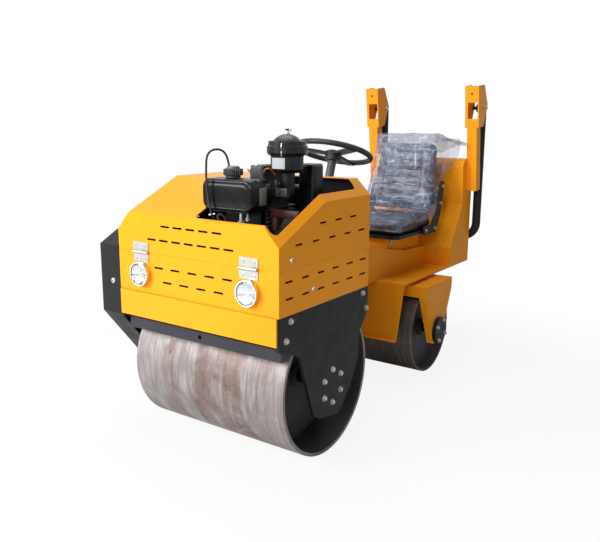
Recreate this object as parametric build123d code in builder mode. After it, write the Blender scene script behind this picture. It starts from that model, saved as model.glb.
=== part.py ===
"""Ride-on mini road roller: wide driven front drum, small steered rear drum in a kingpin fork.

Millimetres, +Z up, ground at z = 0, the front faces -Y and +X is the machine's left-hand
side plate. The frame's origin is the middle of the footprint. Places inside the machine are
measured from its own datum: x from the centre plane, y from the hood's front face, z from
the ground. The three plane functions below carry that datum.
"""
import os
from math import asin, atan2, cos, degrees, hypot, pi, radians, sin, sqrt, tan

from build123d import *

# ---------------------------------------------------------------- driving sizes
FIT = 0.3                # gap between faces of different bodies that seat on each other
RUNNING_FIT = 0.05       # radial gap of a shaft in its bearing
MOVING_GAP = 6.0         # least gap between bodies that pass each other

# hood and engine bay
HOOD_WIDTH = 710.0
HOOD_LENGTH = 548.0
HOOD_SHEET = 4.0
PANEL_TALL = 91.0        # front panel under the band
DECK_OVER_DRUM = 21.0    # deck's underside over the front drum
BAND_TALL = 144.0        # fixed band, up to the tilting hood's seam
HOOD_FACE_TALL = 134.0   # the hood's upright front face
HOOD_RISE = 113.0        # the hood's slope, up to its flat top
HOOD_SLOPE_Y = 242.6     # where the slope meets the flat top
HOOD_BEVEL_ACROSS = 56.0
HOOD_BEVEL_DOWN = 55.0
OPENING_LEFT_X = 5.0     # engine opening in the hood's top
OPENING_RIGHT_X = 332.0
OPENING_FRONT_Y = 8.0
OPENING_REAR_Y = 488.0
OPENING_CORNER = 22.0
SLOT_LENGTH = 42.0
SLOT_HEIGHT = 7.0
HINGE_WIDTH = 74.0
HINGE_HEIGHT = 68.0
HINGE_LEAF = 3.0
HINGE_KNUCKLE_R = 5.5
HINGE_AHEAD = 6.0        # hinge axis in front of the hood's face
HINGE_PIN_R = 3.0
HINGE_X = 240.0
HINGE_KNUCKLE_GAP = 1.0
LAMP_X = 240.0
LAMP_UP = 67.0           # lamps' centre over the band's lower edge
LAMP_R = 42.5
LAMP_DEPTH = 20.0
LAMP_RIM = 4.0

# chassis
SIDE_PLATE = 12.0
DECK_PLATE = 10.0
BAR_DROP = 109.0         # cross bar's top below the band
BAR_TALL = 41.0
BAR_FRONT_Y = 27.0
BAR_DEPTH = 38.0
TOW_HOLE_R = 8.0
PANEL_SHEET = 7.0
PANEL_INSET = 5.5        # front panel narrower than the hood, each side
GUARD_DEPTH = 103.0      # drive cover on the -X side
GUARD_SHEET = 4.0
PLATE_TIP_R = 30.0       # rounding of the side plates' lowest corners

# drums
FRONT_DRUM_R = 265.0
FRONT_DRUM_SHELL = 12.0
FRONT_DRUM_Y = 307.4
FRONT_WEB_INSET = 137.0  # outer face of each web in from the drum's end
FRONT_WEB = 12.0
FRONT_DISC_R = 220.0
STUB_R = 30.0
STUB_FLANGE_R = 78.0
STUB_FLANGE = 12.0
HUB_WALL = 16.0
REAR_DRUM_R = 203.0
REAR_DRUM_SHELL = 10.0
REAR_DRUM_HALF = 278.0
WHEELBASE = 980.6
REAR_WEB_INSET = 53.0
REAR_SIDE_GAP = 8.0      # drum's end to the fork's folded edge
REAR_WEB = 10.0
REAR_STUB_R = 22.0

# rear fork and kingpin
FORK_OVER_DRUM = 24.0
FORK_PLATE = 10.0
FORK_SIDE = 12.0
FORK_HALF_LENGTH = 145.0
FORK_LIP = 50.0          # depth of the folded front and rear edges
FORK_TIP_HALF = 42.0
FORK_TIP_DROP = 58.0     # tips of the side plates below the axle
FORK_EDGE = 32.0         # inward fold of the side plates' edges
REAR_FLANGE_R = 62.0
REAR_FLANGE = 18.0
KINGPIN_R = 25.0
KINGPIN_DROP = 18.0      # into the fork, above the drum
SLEW_R = 110.0
SCRAPER_GAP = 6.0
SCRAPER_PLATE = 8.0

# steering cylinder
STEER_ARM = 190.0        # kingpin to the cylinder's far pin
STEER_ARM_HALF = 32.0
ANCHOR_X = -235.0
ANCHOR_BEHIND_PIN = 62.0
CYLINDER_DROP = 34.0     # cylinder's centre line below the fork's top
BARREL_R = 25.0
BARREL_BORE = 21.0
BARREL_LENGTH = 162.0
ROD_R = 10.0
ROD_INSIDE = 96.0        # anchor pin to the rod's inner end at rest
EYE_R = 20.0
EYE_WIDTH = 20.0
STEER_PIN_R = 7.0
ROD_EYE_R = 23.0
EYE_PLAY = 9.8           # the open pivot drifts inside this play

# rear platform
SPINE_HALF = 113.0
SPINE_SHEET = 6.0
SPINE_FRONT_Z = 669.0
SPINE_TOE = 46.0         # the spine's top starts to fall this far ahead of the column
SPINE_KNEE_Y = 1340.0
SPINE_KNEE_Z = 549.0
FLOOR_OVER_FORK = 14.0   # room of the slewing plates
FLOOR_PLATE = 8.0
PLATFORM_HALF = 250.0
APRON_AHEAD = 24.0       # apron's top in front of the rear drum
APRON_RAKE = 63.0
APRON_SHEET = 6.0
APRON_FOOT_Z = 206.0
APRON_LIP = 16.0
BOX_DEPTH = 237.0
BOX_STEP_Z = 542.0
BOX_TOWER_DEPTH = 105.0  # the raised back, at its foot
BOX_TOWER_Z = 748.0
BOX_TOP_DEPTH = 125.0
BOX_TOP_Z = 971.0
BOX_BROW_R = 42.0
BOX_SHEET = 6.0

# seat
SEAT_HALF_WIDTH = 180.0
RISER_HALF = 95.0
RISER_INSET = 54.0       # riser behind the pan's front edge
PAN_Z = 630.0
PAN_HEIGHT = 14.0
PAN_FRONT_Y = 1136.0
PAN_DEPTH = 384.0
PAN_INSET = 8.0          # pan narrower than the cushion, each side
PAN_TO_BOX = 40.0
CUSHION_THICK = 76.0
CUSHION_CORNER = 40.0
BACK_ON_PAN = 62.0       # backrest's front face ahead of the pan's rear edge
BACK_LEAN = 14.0         # degrees from upright
BACK_HEIGHT = 336.0
BACK_THICK = 86.0
BACK_FOOT_HALF = 176.0
BACK_TOP_HALF = 157.0
BACK_CORNER = 36.0
BRACKET_PLATE = 6.0
BRACKET_FOOT = 140.0     # bracket's foot along the pan
BRACKET_FOOT_DROP = 8.0
BRACKET_FOOT_RISE = 34.0
BRACKET_ARM = 46.0
BRACKET_ARM_TALL = 171.0
STRAP_WIDTH = 60.0
STRAP_SHEET = 4.0

# roll bar
POST_TUBE = 50.0
POST_WALL = 4.0
POST_LEAN = 7.0          # degrees forward
POST_AHEAD = 61.0        # post's front face ahead of the seat box's rear
POST_FOOT_Z = 812.0
POST_LENGTH = 330.0
CHANNEL_WIDTH = 70.0
CHANNEL_SHEET = 5.0
CHANNEL_HEIGHT = 200.0
CHANNEL_LOW = 314.0      # channel's lower edge along the post
CHANNEL_FOOT_DEPTH = 62.0
CHANNEL_TOP_DEPTH = 76.0
CHANNEL_KNEE = 20.0      # cheek widens above this
CHANNEL_BACK = 118.0     # cheek's rearmost corner behind the front face
CHANNEL_BACK_UP = 101.0
WINDOW_WIDTH = 50.0
WINDOW_HEIGHT = 78.0
WINDOW_ASIDE = 4.0       # window off the channel's middle, towards +X
WINDOW_DOWN = 118.0      # window's middle below the channel's top
LOCK_HOLE_R = 6.0
LOCK_HOLE_DOWN = 38.0
PIVOT_UP = 400.0         # bow pivot along the post from its foot
PIVOT_BACK = 92.0        # bow pivot behind the channel's front face
PIVOT_R = 8.5
BOW_TUBE_R = 21.0
BOW_WALL = 3.5
BOW_LEG_BEHIND = 48.0    # hanging leg behind the pivot
BOW_LOW_Z = 567.0
BOW_BEND_R = 72.0
BOW_EAR = 14.0

# controls
WHEEL_BEHIND_HOOD = 318.0
WHEEL_Z = 1025.0
WHEEL_TILT = 18.6
WHEEL_R = 167.0
WHEEL_RIM_R = 11.5
WHEEL_HUB_R = 34.0
WHEEL_HUB = 36.0
SPOKE_WIDTH = 36.0
SPOKE_PLATE = 10.0
COLUMN_R = 18.0
COLUMN_HOUSING_R = 34.0
COLUMN_HOUSING = 130.0

# engine
BLOCK_LEFT_X = -115.0    # crankcase
BLOCK_RIGHT_X = 200.0
BLOCK_FRONT_Y = 124.0
BLOCK_DEPTH = 276.0
BLOCK_TALL = 195.0
BLOCK_CORNER = 24.0
RAIL_WIDTH = 40.0
RAIL_HEIGHT = 14.0
RAIL_REACH = 40.0        # rails run on in front of and behind the crankcase
CYLINDER_X = 128.0
CYLINDER_Y = 235.0
CYLINDER_WIDE = 110.0
CYLINDER_DEEP = 130.0
CYLINDER_TALL = 130.0
CYLINDER_CORNER = 18.0
FIN_REACH = 16.0
FIN_PLATE = 4.0
FIN_PITCH = 14.0
HEAD_REACH = 6.0         # head wider than the cylinder, each side
HEAD_TALL = 45.0
ROCKER_WIDE = 58.0
ROCKER_DEEP = 118.0
ROCKER_TALL = 63.0
ROCKER_CORNER = 14.0
RECOIL_Y = 255.0
RECOIL_DROP = 35.0       # recoil cover's centre below the crankcase's top
RECOIL_R = 112.0
RECOIL_DEEP = 44.0
RECOIL_BEVEL = 22.0
RECOIL_BOSS_R = 58.0
RECOIL_BOSS = 12.0
GRILLE_R = 84.0
GRILLE_SLOT = 30.0
GRILLE_SLOT_WIDTH = 6.0
TANK_LEFT_X = 14.0
TANK_WIDTH = 210.0
TANK_FRONT_Y = 36.0
TANK_DEPTH = 112.0
TANK_OVER_BLOCK = 98.0
TANK_TALL = 104.0
TANK_CORNER = 20.0
TANK_SHELF_INSET = 30.0
SHELF_SHEET = 4.0
SHELF_DROP = 60.0        # bracket reaches this far down the crankcase
CAP_X = 104.0
CAP_R = 32.0
CAP_HEIGHT = 38.0
FILTER_X = 217.0
FILTER_Y = 232.0
FILTER_OVER_HEAD = 85.0  # cup's underside over the cylinder's top
FILTER_CUP_R = 54.0
FILTER_CUP = 53.0
FILTER_FLARE = 12.0
FILTER_COLLAR_R = 66.5
FILTER_COLLAR = 22.0
FILTER_STEP = 3.0
FILTER_LID_R = 62.0
FILTER_LID = 13.0
FILTER_DOME_R = 46.0
FILTER_DOME = 22.0
FILTER_FLAT_R = 9.0
FILTER_NUT_R = 6.0
FILTER_NUT = 17.0
INTAKE_R = 26.0
INTAKE_DROP = 80.0
ELBOW_R = 19.0
MUFFLER_X = 195.0
MUFFLER_WIDE = 67.0
MUFFLER_Y = 324.0
MUFFLER_DEEP = 64.0
MUFFLER_OVER_BLOCK = 80.0
MUFFLER_TALL = 160.0
MUFFLER_CORNER = 12.0
MUFFLER_FOOT = 6.0
MUFFLER_FOOT_WIDE = 50.0
EXHAUST_R = 13.0
EXHAUST_WALL = 2.0
EXHAUST_FLANGE_R = 20.0
EXHAUST_FLANGE = 8.0
EXHAUST_BEND_R = 28.0
FITTING_X = 67.0         # hose fitting on the tank's top
FITTING_Y = 117.0
FITTING_R = 6.5
FITTING = 6.0
PUMP_X = 78.0            # fuel pump on the tank bracket's front
PUMP_UP = 20.0           # above the crankcase's top
PUMP_R = 17.0
PUMP_DEEP = 12.0
CABLE_R = 3.5

# ---------------------------------------------------------------- derived sizes
HOOD_HALF = HOOD_WIDTH / 2
BAND_LOW_Z = 2 * FRONT_DRUM_R + DECK_OVER_DRUM + DECK_PLATE
PANEL_LOW_Z = BAND_LOW_Z - PANEL_TALL
SEAM_Z = BAND_LOW_Z + BAND_TALL
HOOD_BROW_Z = SEAM_Z + HOOD_FACE_TALL
HOOD_TOP_Z = HOOD_BROW_Z + HOOD_RISE
LAMP_Z = BAND_LOW_Z + LAMP_UP
BAR_TOP_Z = BAND_LOW_Z - BAR_DROP
BAR_LOW_Z = BAR_TOP_Z - BAR_TALL
WHEEL_Y = HOOD_LENGTH + WHEEL_BEHIND_HOOD
COLUMN_FOOT_Y = WHEEL_Y - (WHEEL_Z - SPINE_FRONT_Z) * tan(radians(WHEEL_TILT))
SPINE_COLUMN_Y = COLUMN_FOOT_Y - SPINE_TOE
PAN_REAR_Y = PAN_FRONT_Y + PAN_DEPTH
RISER_FRONT_Y = PAN_FRONT_Y + RISER_INSET
BACK_FOOT_Y = PAN_REAR_Y - BACK_ON_PAN
BOX_FRONT_Y = PAN_REAR_Y + PAN_TO_BOX
BOX_REAR_Y = BOX_FRONT_Y + BOX_DEPTH
POST_FOOT_Y = BOX_REAR_Y - POST_AHEAD
BLOCK_REAR_Y = BLOCK_FRONT_Y + BLOCK_DEPTH
BLOCK_TOP_Z = BAND_LOW_Z + RAIL_HEIGHT + BLOCK_TALL
RECOIL_Z = BLOCK_TOP_Z - RECOIL_DROP
PUMP_Z = BLOCK_TOP_Z + PUMP_UP
HEAD_Z = BLOCK_TOP_Z + CYLINDER_TALL
TANK_LOW_Z = BLOCK_TOP_Z + TANK_OVER_BLOCK
TANK_TOP_Z = TANK_LOW_Z + TANK_TALL
FILTER_LOW_Z = HEAD_Z + FILTER_OVER_HEAD
MUFFLER_LOW_Z = BLOCK_TOP_Z + MUFFLER_OVER_BLOCK
BAY_HALF = HOOD_HALF - SIDE_PLATE
FRONT_DRUM_HALF = BAY_HALF - MOVING_GAP
FRONT_WEB_X = FRONT_DRUM_HALF - FRONT_WEB_INSET
KNUCKLE_Y = -HINGE_AHEAD
REAR_AXLE_Y = FRONT_DRUM_Y + WHEELBASE
REAR_WEB_X = REAR_DRUM_HALF - REAR_WEB_INSET
FORK_HALF_WIDTH = REAR_DRUM_HALF + REAR_SIDE_GAP + FORK_EDGE
FORK_TOP_Z = 2 * REAR_DRUM_R + FORK_OVER_DRUM
FORK_TIP_Z = REAR_DRUM_R - FORK_TIP_DROP
KINGPIN_LOW_Z = FORK_TOP_Z - KINGPIN_DROP
CYLINDER_Z = FORK_TOP_Z - CYLINDER_DROP
FLOOR_Z = FORK_TOP_Z + FLOOR_OVER_FORK
APRON_TOP_Y = REAR_AXLE_Y - REAR_DRUM_R - APRON_AHEAD
APRON_FOOT_Y = APRON_TOP_Y - APRON_RAKE
PIVOT_LEAN = radians(POST_LEAN)
POST_X = PLATFORM_HALF + POST_TUBE / 2
PIVOT_Y = POST_FOOT_Y - PIVOT_UP * sin(PIVOT_LEAN) + PIVOT_BACK * cos(PIVOT_LEAN)
PIVOT_Z = POST_FOOT_Z + PIVOT_UP * cos(PIVOT_LEAN) + PIVOT_BACK * sin(PIVOT_LEAN)
BOW_Y = PIVOT_Y + BOW_LEG_BEHIND
CHANNEL_TOP = CHANNEL_LOW + CHANNEL_HEIGHT
STEER_PIN_Y = REAR_AXLE_Y + STEER_ARM
ANCHOR_Y = STEER_PIN_Y + ANCHOR_BEHIND_PIN
CYLINDER_SPAN = hypot(ANCHOR_X, ANCHOR_BEHIND_PIN)
CYLINDER_TURN = degrees(atan2(-ANCHOR_BEHIND_PIN, -ANCHOR_X))

# footprint, and from it the machine's datum in the part's frame
LEFT_REACH = HOOD_HALF
RIGHT_REACH = HOOD_HALF + GUARD_DEPTH
FRONT_REACH = LAMP_DEPTH
REAR_REACH = BOW_Y + BOW_TUBE_R
MID_X = (RIGHT_REACH - LEFT_REACH) / 2
FRONT_Y = -(REAR_REACH - FRONT_REACH) / 2


def level(z):
    """Horizontal plane at height z; sketch x, y are the machine's x, y."""
    return Plane(origin=(MID_X, FRONT_Y, z))


def side(x):
    """Upright fore-and-aft plane at x, facing +X; sketch x, y are the machine's y, z."""
    return Plane(origin=(MID_X + x, FRONT_Y, 0), x_dir=(0, 1, 0), z_dir=(1, 0, 0))


def across(y):
    """Upright cross plane at y, facing -Y; sketch x, y are the machine's x, z."""
    return Plane(origin=(MID_X, FRONT_Y + y, 0), x_dir=(1, 0, 0), z_dir=(0, -1, 0))


def at(x, y, z):
    """Point in the part's frame from the machine's own coordinates."""
    return (MID_X + x, FRONT_Y + y, z)


def outline(*points):
    """Closed profile on the sketch in hand, given corner by corner."""
    Polygon(*points, align=None)


def save(part, name):
    """Label one finished piece and write it as its own STEP file."""
    part.label = name
    export_step(part, f"parts/{name}.step")


os.makedirs("parts", exist_ok=True)

# ---------------------------------------------------------------- chassis and front
# side plates: upper lugs under the band, tapering down to the drum's axle
PLATE_OUTLINE = (
    (0, BAND_LOW_Z), (HOOD_LENGTH, BAND_LOW_Z), (HOOD_LENGTH, 466), (495, 406), (493, 386),
    (484, 299), (432, 212), (357, 132), (233, 153), (196, 178), (148, 309), (113, 405),
    (60, 440), (0, 452))
for name, inner_x in (("side_plate_left", BAY_HALF), ("side_plate_right", -HOOD_HALF)):
    with BuildPart() as side_plate:
        with BuildSketch(side(inner_x)):
            outline(*PLATE_OUTLINE)
        extrude(amount=SIDE_PLATE)
        foot_edges = side_plate.edges().filter_by(Axis.X).group_by(Axis.Z)[0:2]
        fillet([edge for group in foot_edges for edge in group], PLATE_TIP_R)
    save(side_plate.part, name)

# deck under the engine, with the rear wall folded down behind the drum
with BuildPart() as chassis_deck:
    with BuildSketch(level(BAND_LOW_Z - DECK_PLATE)):
        with Locations((0, (BAR_FRONT_Y + HOOD_LENGTH) / 2)):
            Rectangle(2 * BAY_HALF, HOOD_LENGTH - BAR_FRONT_Y)
    extrude(amount=DECK_PLATE)
    with BuildSketch(level(PANEL_LOW_Z)):
        with Locations((0, HOOD_LENGTH - DECK_PLATE / 2)):
            Rectangle(2 * BAY_HALF, DECK_PLATE)
    extrude(amount=BAND_LOW_Z - DECK_PLATE - PANEL_LOW_Z)
save(chassis_deck.part, "chassis_deck")

# cross bar over the drum's front, with the tow hole in its middle
with BuildPart() as cross_bar:
    with BuildSketch(across(BAR_FRONT_Y)):
        with Locations((0, (BAR_LOW_Z + BAR_TOP_Z) / 2)):
            Rectangle(2 * BAY_HALF, BAR_TOP_Z - BAR_LOW_Z)
            Circle(TOW_HOLE_R, mode=Mode.SUBTRACT)
    extrude(amount=-BAR_DEPTH)
save(cross_bar.part, "cross_bar")

with BuildPart() as front_panel:
    with BuildSketch(across(0)):
        with Locations((0, (PANEL_LOW_Z + BAND_LOW_Z) / 2)):
            Rectangle(2 * (HOOD_HALF - PANEL_INSET), BAND_LOW_Z - PANEL_LOW_Z)
    extrude(amount=PANEL_SHEET)
save(front_panel.part, "front_panel")

# louvre slots as rows of (first centre, last centre, nearest pitch, height over the seam)
BAND_FRONT_SLOTS = ((-157.5, 150.1, 76.9, -49.0), (-118.5, 112.2, 76.9, -96.5))
BAND_SIDE_SLOTS = ((53.0, HOOD_LENGTH - 45.0, 90.0, -37.0), (56.0, HOOD_LENGTH - 44.5, 90.0, -91.0))
HOOD_FRONT_SLOTS = ((-122.0, 108.0, 57.5, 97.0), (-188.0, 157.0, 57.5, 48.0))
HOOD_SIDE_SLOTS = ((242.0, HOOD_LENGTH - 116.0, 95.0, 125.0), (107.0, HOOD_LENGTH - 57.8, 95.0, 71.0))


def slot_row(row):
    """One row of round-ended slots on the sketch in hand."""
    first, last, pitch, height = row
    gaps = round((last - first) / pitch)
    step = (last - first) / gaps
    with Locations(*[(first + step * number, SEAM_Z + height) for number in range(gaps + 1)]):
        SlotOverall(SLOT_LENGTH, SLOT_HEIGHT)


# fixed band round the engine, four walls open above and below
with BuildPart() as body_band:
    with BuildSketch(level(BAND_LOW_Z)):
        with Locations((0, HOOD_LENGTH / 2)):
            Rectangle(HOOD_WIDTH, HOOD_LENGTH)
            Rectangle(HOOD_WIDTH - 2 * HOOD_SHEET, HOOD_LENGTH - 2 * HOOD_SHEET,
                      mode=Mode.SUBTRACT)
    extrude(amount=SEAM_Z - BAND_LOW_Z)
    with BuildSketch(across(0)):
        for slots in BAND_FRONT_SLOTS:
            slot_row(slots)
    extrude(amount=-HOOD_SHEET, mode=Mode.SUBTRACT)
    with BuildSketch(side(0)):
        for slots in BAND_SIDE_SLOTS:
            slot_row(slots)
    extrude(amount=HOOD_HALF, both=True, mode=Mode.SUBTRACT)
save(body_band.part, "body_band")

# drive cover on the -X side, a folded tray open towards its side plate
GUARD_OUTLINE = (
    (0, 462), (0, 713), (150, 792), (400, 792), (470, 716), (470, 300), (400, 196),
    (215, 196), (152, 274))
with BuildPart() as guard_box:
    with BuildSketch(side(-RIGHT_REACH)):
        outline(*GUARD_OUTLINE)
    extrude(amount=GUARD_DEPTH)
    with BuildSketch(side(-RIGHT_REACH + GUARD_SHEET)):
        outline(*GUARD_OUTLINE)
        offset(amount=-GUARD_SHEET, mode=Mode.REPLACE)
    extrude(amount=GUARD_DEPTH, mode=Mode.SUBTRACT)
    # the upper edge stands clear of the tilting hood
    with BuildSketch(side(-HOOD_HALF - MOVING_GAP)):
        with Locations((HOOD_LENGTH / 2, SEAM_Z - MOVING_GAP + HOOD_LENGTH / 2)):
            Rectangle(HOOD_LENGTH, HOOD_LENGTH)
    extrude(amount=MOVING_GAP, mode=Mode.SUBTRACT)
save(guard_box.part, "guard_box")

# ---------------------------------------------------------------- hood
with BuildPart() as hood:
    with BuildSketch(side(-HOOD_HALF)):
        outline((0, SEAM_Z + FIT), (0, HOOD_BROW_Z), (HOOD_SLOPE_Y, HOOD_TOP_Z),
                (HOOD_LENGTH, HOOD_TOP_Z), (HOOD_LENGTH, SEAM_Z + FIT))
    extrude(amount=HOOD_WIDTH)
    long_edges = hood.edges().filter_by(
        lambda edge: abs(abs(edge.center().X - MID_X) - HOOD_HALF) < 1
        and edge.center().Z > (HOOD_BROW_Z + HOOD_TOP_Z) / 2 - 1)
    chamfer(long_edges, length=HOOD_BEVEL_ACROSS)
    offset(amount=-HOOD_SHEET, openings=hood.faces().sort_by(Axis.Z)[0])
    with BuildSketch(level(SEAM_Z)):
        with Locations(((OPENING_LEFT_X + OPENING_RIGHT_X) / 2,
                        (OPENING_FRONT_Y + OPENING_REAR_Y) / 2)):
            RectangleRounded(OPENING_RIGHT_X - OPENING_LEFT_X,
                             OPENING_REAR_Y - OPENING_FRONT_Y, OPENING_CORNER)
    extrude(amount=HOOD_TOP_Z - SEAM_Z, mode=Mode.SUBTRACT)
    with BuildSketch(across(0)):
        for slots in HOOD_FRONT_SLOTS:
            slot_row(slots)
    extrude(amount=-HOOD_SHEET, mode=Mode.SUBTRACT)
    with BuildSketch(side(0)):
        for slots in HOOD_SIDE_SLOTS:
            slot_row(slots)
    extrude(amount=HOOD_HALF, both=True, mode=Mode.SUBTRACT)
save(hood.part, "hood")

# butt hinges over the seam: fixed leaves with the pin, and leaves that lift with the hood
KNUCKLE_THIRD = HINGE_WIDTH / 3
LEAF_DROP = HINGE_HEIGHT / 2
with BuildPart() as hinge_lower_leaves:
    for x in (-HINGE_X, HINGE_X):
        with BuildSketch(across(0)):
            with Locations((x, SEAM_Z - HINGE_KNUCKLE_R / 2 - LEAF_DROP / 2)):
                Rectangle(HINGE_WIDTH, LEAF_DROP - HINGE_KNUCKLE_R)
        extrude(amount=HINGE_LEAF)
        for knuckle_x in (x - KNUCKLE_THIRD, x + KNUCKLE_THIRD):
            knuckle = (KNUCKLE_THIRD - HINGE_KNUCKLE_GAP) / 2
            with BuildSketch(side(knuckle_x)):
                with Locations((KNUCKLE_Y, SEAM_Z)):
                    Circle(HINGE_KNUCKLE_R)
                with Locations((-HINGE_LEAF / 2, SEAM_Z - HINGE_KNUCKLE_R)):
                    Rectangle(HINGE_LEAF, 2 * HINGE_KNUCKLE_R)
            extrude(amount=knuckle, both=True)
        with BuildSketch(side(x)):
            with Locations((KNUCKLE_Y, SEAM_Z)):
                Circle(HINGE_PIN_R)
        extrude(amount=HINGE_WIDTH / 2, both=True)
save(hinge_lower_leaves.part, "hinge_lower_leaves")

with BuildPart() as hinge_upper_leaves:
    for x in (-HINGE_X, HINGE_X):
        with BuildSketch(across(0)):
            with Locations((x, SEAM_Z + HINGE_KNUCKLE_R + HINGE_KNUCKLE_GAP
                            + (LEAF_DROP - HINGE_KNUCKLE_R) / 2)):
                Rectangle(HINGE_WIDTH, LEAF_DROP - HINGE_KNUCKLE_R)
        extrude(amount=HINGE_LEAF)
        with BuildSketch(side(x)):
            with Locations((KNUCKLE_Y, SEAM_Z)):
                Circle(HINGE_KNUCKLE_R)
            with Locations((-HINGE_LEAF / 2 - FIT / 2, SEAM_Z + HINGE_KNUCKLE_R)):
                Rectangle(HINGE_LEAF - FIT, 2 * HINGE_KNUCKLE_R + 2 * HINGE_KNUCKLE_GAP)
            with Locations((KNUCKLE_Y, SEAM_Z)):
                Circle(HINGE_PIN_R + RUNNING_FIT, mode=Mode.SUBTRACT)
        extrude(amount=(KNUCKLE_THIRD - HINGE_KNUCKLE_GAP) / 2, both=True)
save(hinge_upper_leaves.part, "hinge_upper_leaves")

# work lamps on the band: a cup with a rim, and the lens in it
LENS_FACE = LAMP_DEPTH - LAMP_RIM
with BuildPart() as lamp_housings:
    with BuildSketch(across(0)):
        with Locations((-LAMP_X, LAMP_Z), (LAMP_X, LAMP_Z)):
            Circle(LAMP_R)
    extrude(amount=LAMP_DEPTH)
    with BuildSketch(across(-LAMP_RIM)):
        with Locations((-LAMP_X, LAMP_Z), (LAMP_X, LAMP_Z)):
            Circle(LAMP_R - LAMP_RIM)
    extrude(amount=LAMP_DEPTH, mode=Mode.SUBTRACT)
    chamfer(lamp_housings.faces().group_by(Axis.Y)[-1].edges(), 2)
save(lamp_housings.part, "lamp_housings")

with BuildPart() as lamp_lenses:
    with BuildSketch(across(-LAMP_RIM)):
        with Locations((-LAMP_X, LAMP_Z), (LAMP_X, LAMP_Z)):
            Circle(LAMP_R - LAMP_RIM)
    extrude(amount=LENS_FACE - LAMP_RIM / 2)
    fillet(lamp_lenses.faces().group_by(Axis.Y)[0].edges(), 4)
save(lamp_lenses.part, "lamp_lenses")

# ---------------------------------------------------------------- front drum
DRUM_BORE = FRONT_DRUM_R - FRONT_DRUM_SHELL
HUB_R = STUB_R + RUNNING_FIT + HUB_WALL
with BuildPart() as front_drum:
    with BuildSketch(side(0)):
        with Locations((FRONT_DRUM_Y, FRONT_DRUM_R)):
            Circle(FRONT_DRUM_R)
            Circle(DRUM_BORE, mode=Mode.SUBTRACT)
    extrude(amount=FRONT_DRUM_HALF, both=True)
    for web_x in (FRONT_WEB_X - FRONT_WEB, -FRONT_WEB_X):
        with BuildSketch(side(web_x)):
            with Locations((FRONT_DRUM_Y, FRONT_DRUM_R)):
                Circle(DRUM_BORE)
        extrude(amount=FRONT_WEB)
    for disc_x, toward in ((FRONT_WEB_X, 1), (-FRONT_WEB_X, -1)):
        with BuildSketch(side(disc_x)):
            with Locations((FRONT_DRUM_Y, FRONT_DRUM_R)):
                Circle(FRONT_DISC_R)
        extrude(amount=toward * FRONT_WEB)
        with BuildSketch(side(disc_x + toward * FRONT_WEB)):
            with Locations((FRONT_DRUM_Y, FRONT_DRUM_R)):
                Circle(HUB_R)
        extrude(amount=toward * FRONT_WEB)
    with BuildSketch(side(0)):
        with Locations((FRONT_DRUM_Y, FRONT_DRUM_R)):
            Circle(STUB_R + RUNNING_FIT)
    extrude(amount=FRONT_DRUM_HALF, both=True, mode=Mode.SUBTRACT)
save(front_drum.part, "front_drum")

with BuildPart() as drum_stub_axles:
    for plate_x, toward in ((BAY_HALF, -1), (-BAY_HALF, 1)):
        with BuildSketch(side(plate_x)):
            with Locations((FRONT_DRUM_Y, FRONT_DRUM_R)):
                Circle(STUB_FLANGE_R)
        extrude(amount=toward * STUB_FLANGE)
        with BuildSketch(side(plate_x)):
            with Locations((FRONT_DRUM_Y, FRONT_DRUM_R)):
                Circle(STUB_R)
        extrude(amount=toward * (BAY_HALF - FRONT_WEB_X + 2 * FRONT_WEB))
save(drum_stub_axles.part, "drum_stub_axles")

# ---------------------------------------------------------------- rear drum, fork and kingpin
REAR_BORE = REAR_DRUM_R - REAR_DRUM_SHELL
with BuildPart() as rear_drum:
    with BuildSketch(side(0)):
        with Locations((REAR_AXLE_Y, REAR_DRUM_R)):
            Circle(REAR_DRUM_R)
            Circle(REAR_BORE, mode=Mode.SUBTRACT)
    extrude(amount=REAR_DRUM_HALF, both=True)
    for web_x in (REAR_WEB_X - REAR_WEB, -REAR_WEB_X):
        with BuildSketch(side(web_x)):
            with Locations((REAR_AXLE_Y, REAR_DRUM_R)):
                Circle(REAR_BORE)
        extrude(amount=REAR_WEB)
    for hub_x, toward in ((REAR_WEB_X, 1), (-REAR_WEB_X, -1)):
        with BuildSketch(side(hub_x)):
            with Locations((REAR_AXLE_Y, REAR_DRUM_R)):
                Circle(REAR_STUB_R + RUNNING_FIT + HUB_WALL)
        extrude(amount=toward * 2 * REAR_WEB)
    with BuildSketch(side(0)):
        with Locations((REAR_AXLE_Y, REAR_DRUM_R)):
            Circle(REAR_STUB_R + RUNNING_FIT)
    extrude(amount=REAR_DRUM_HALF, both=True, mode=Mode.SUBTRACT)
save(rear_drum.part, "rear_drum")

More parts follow.
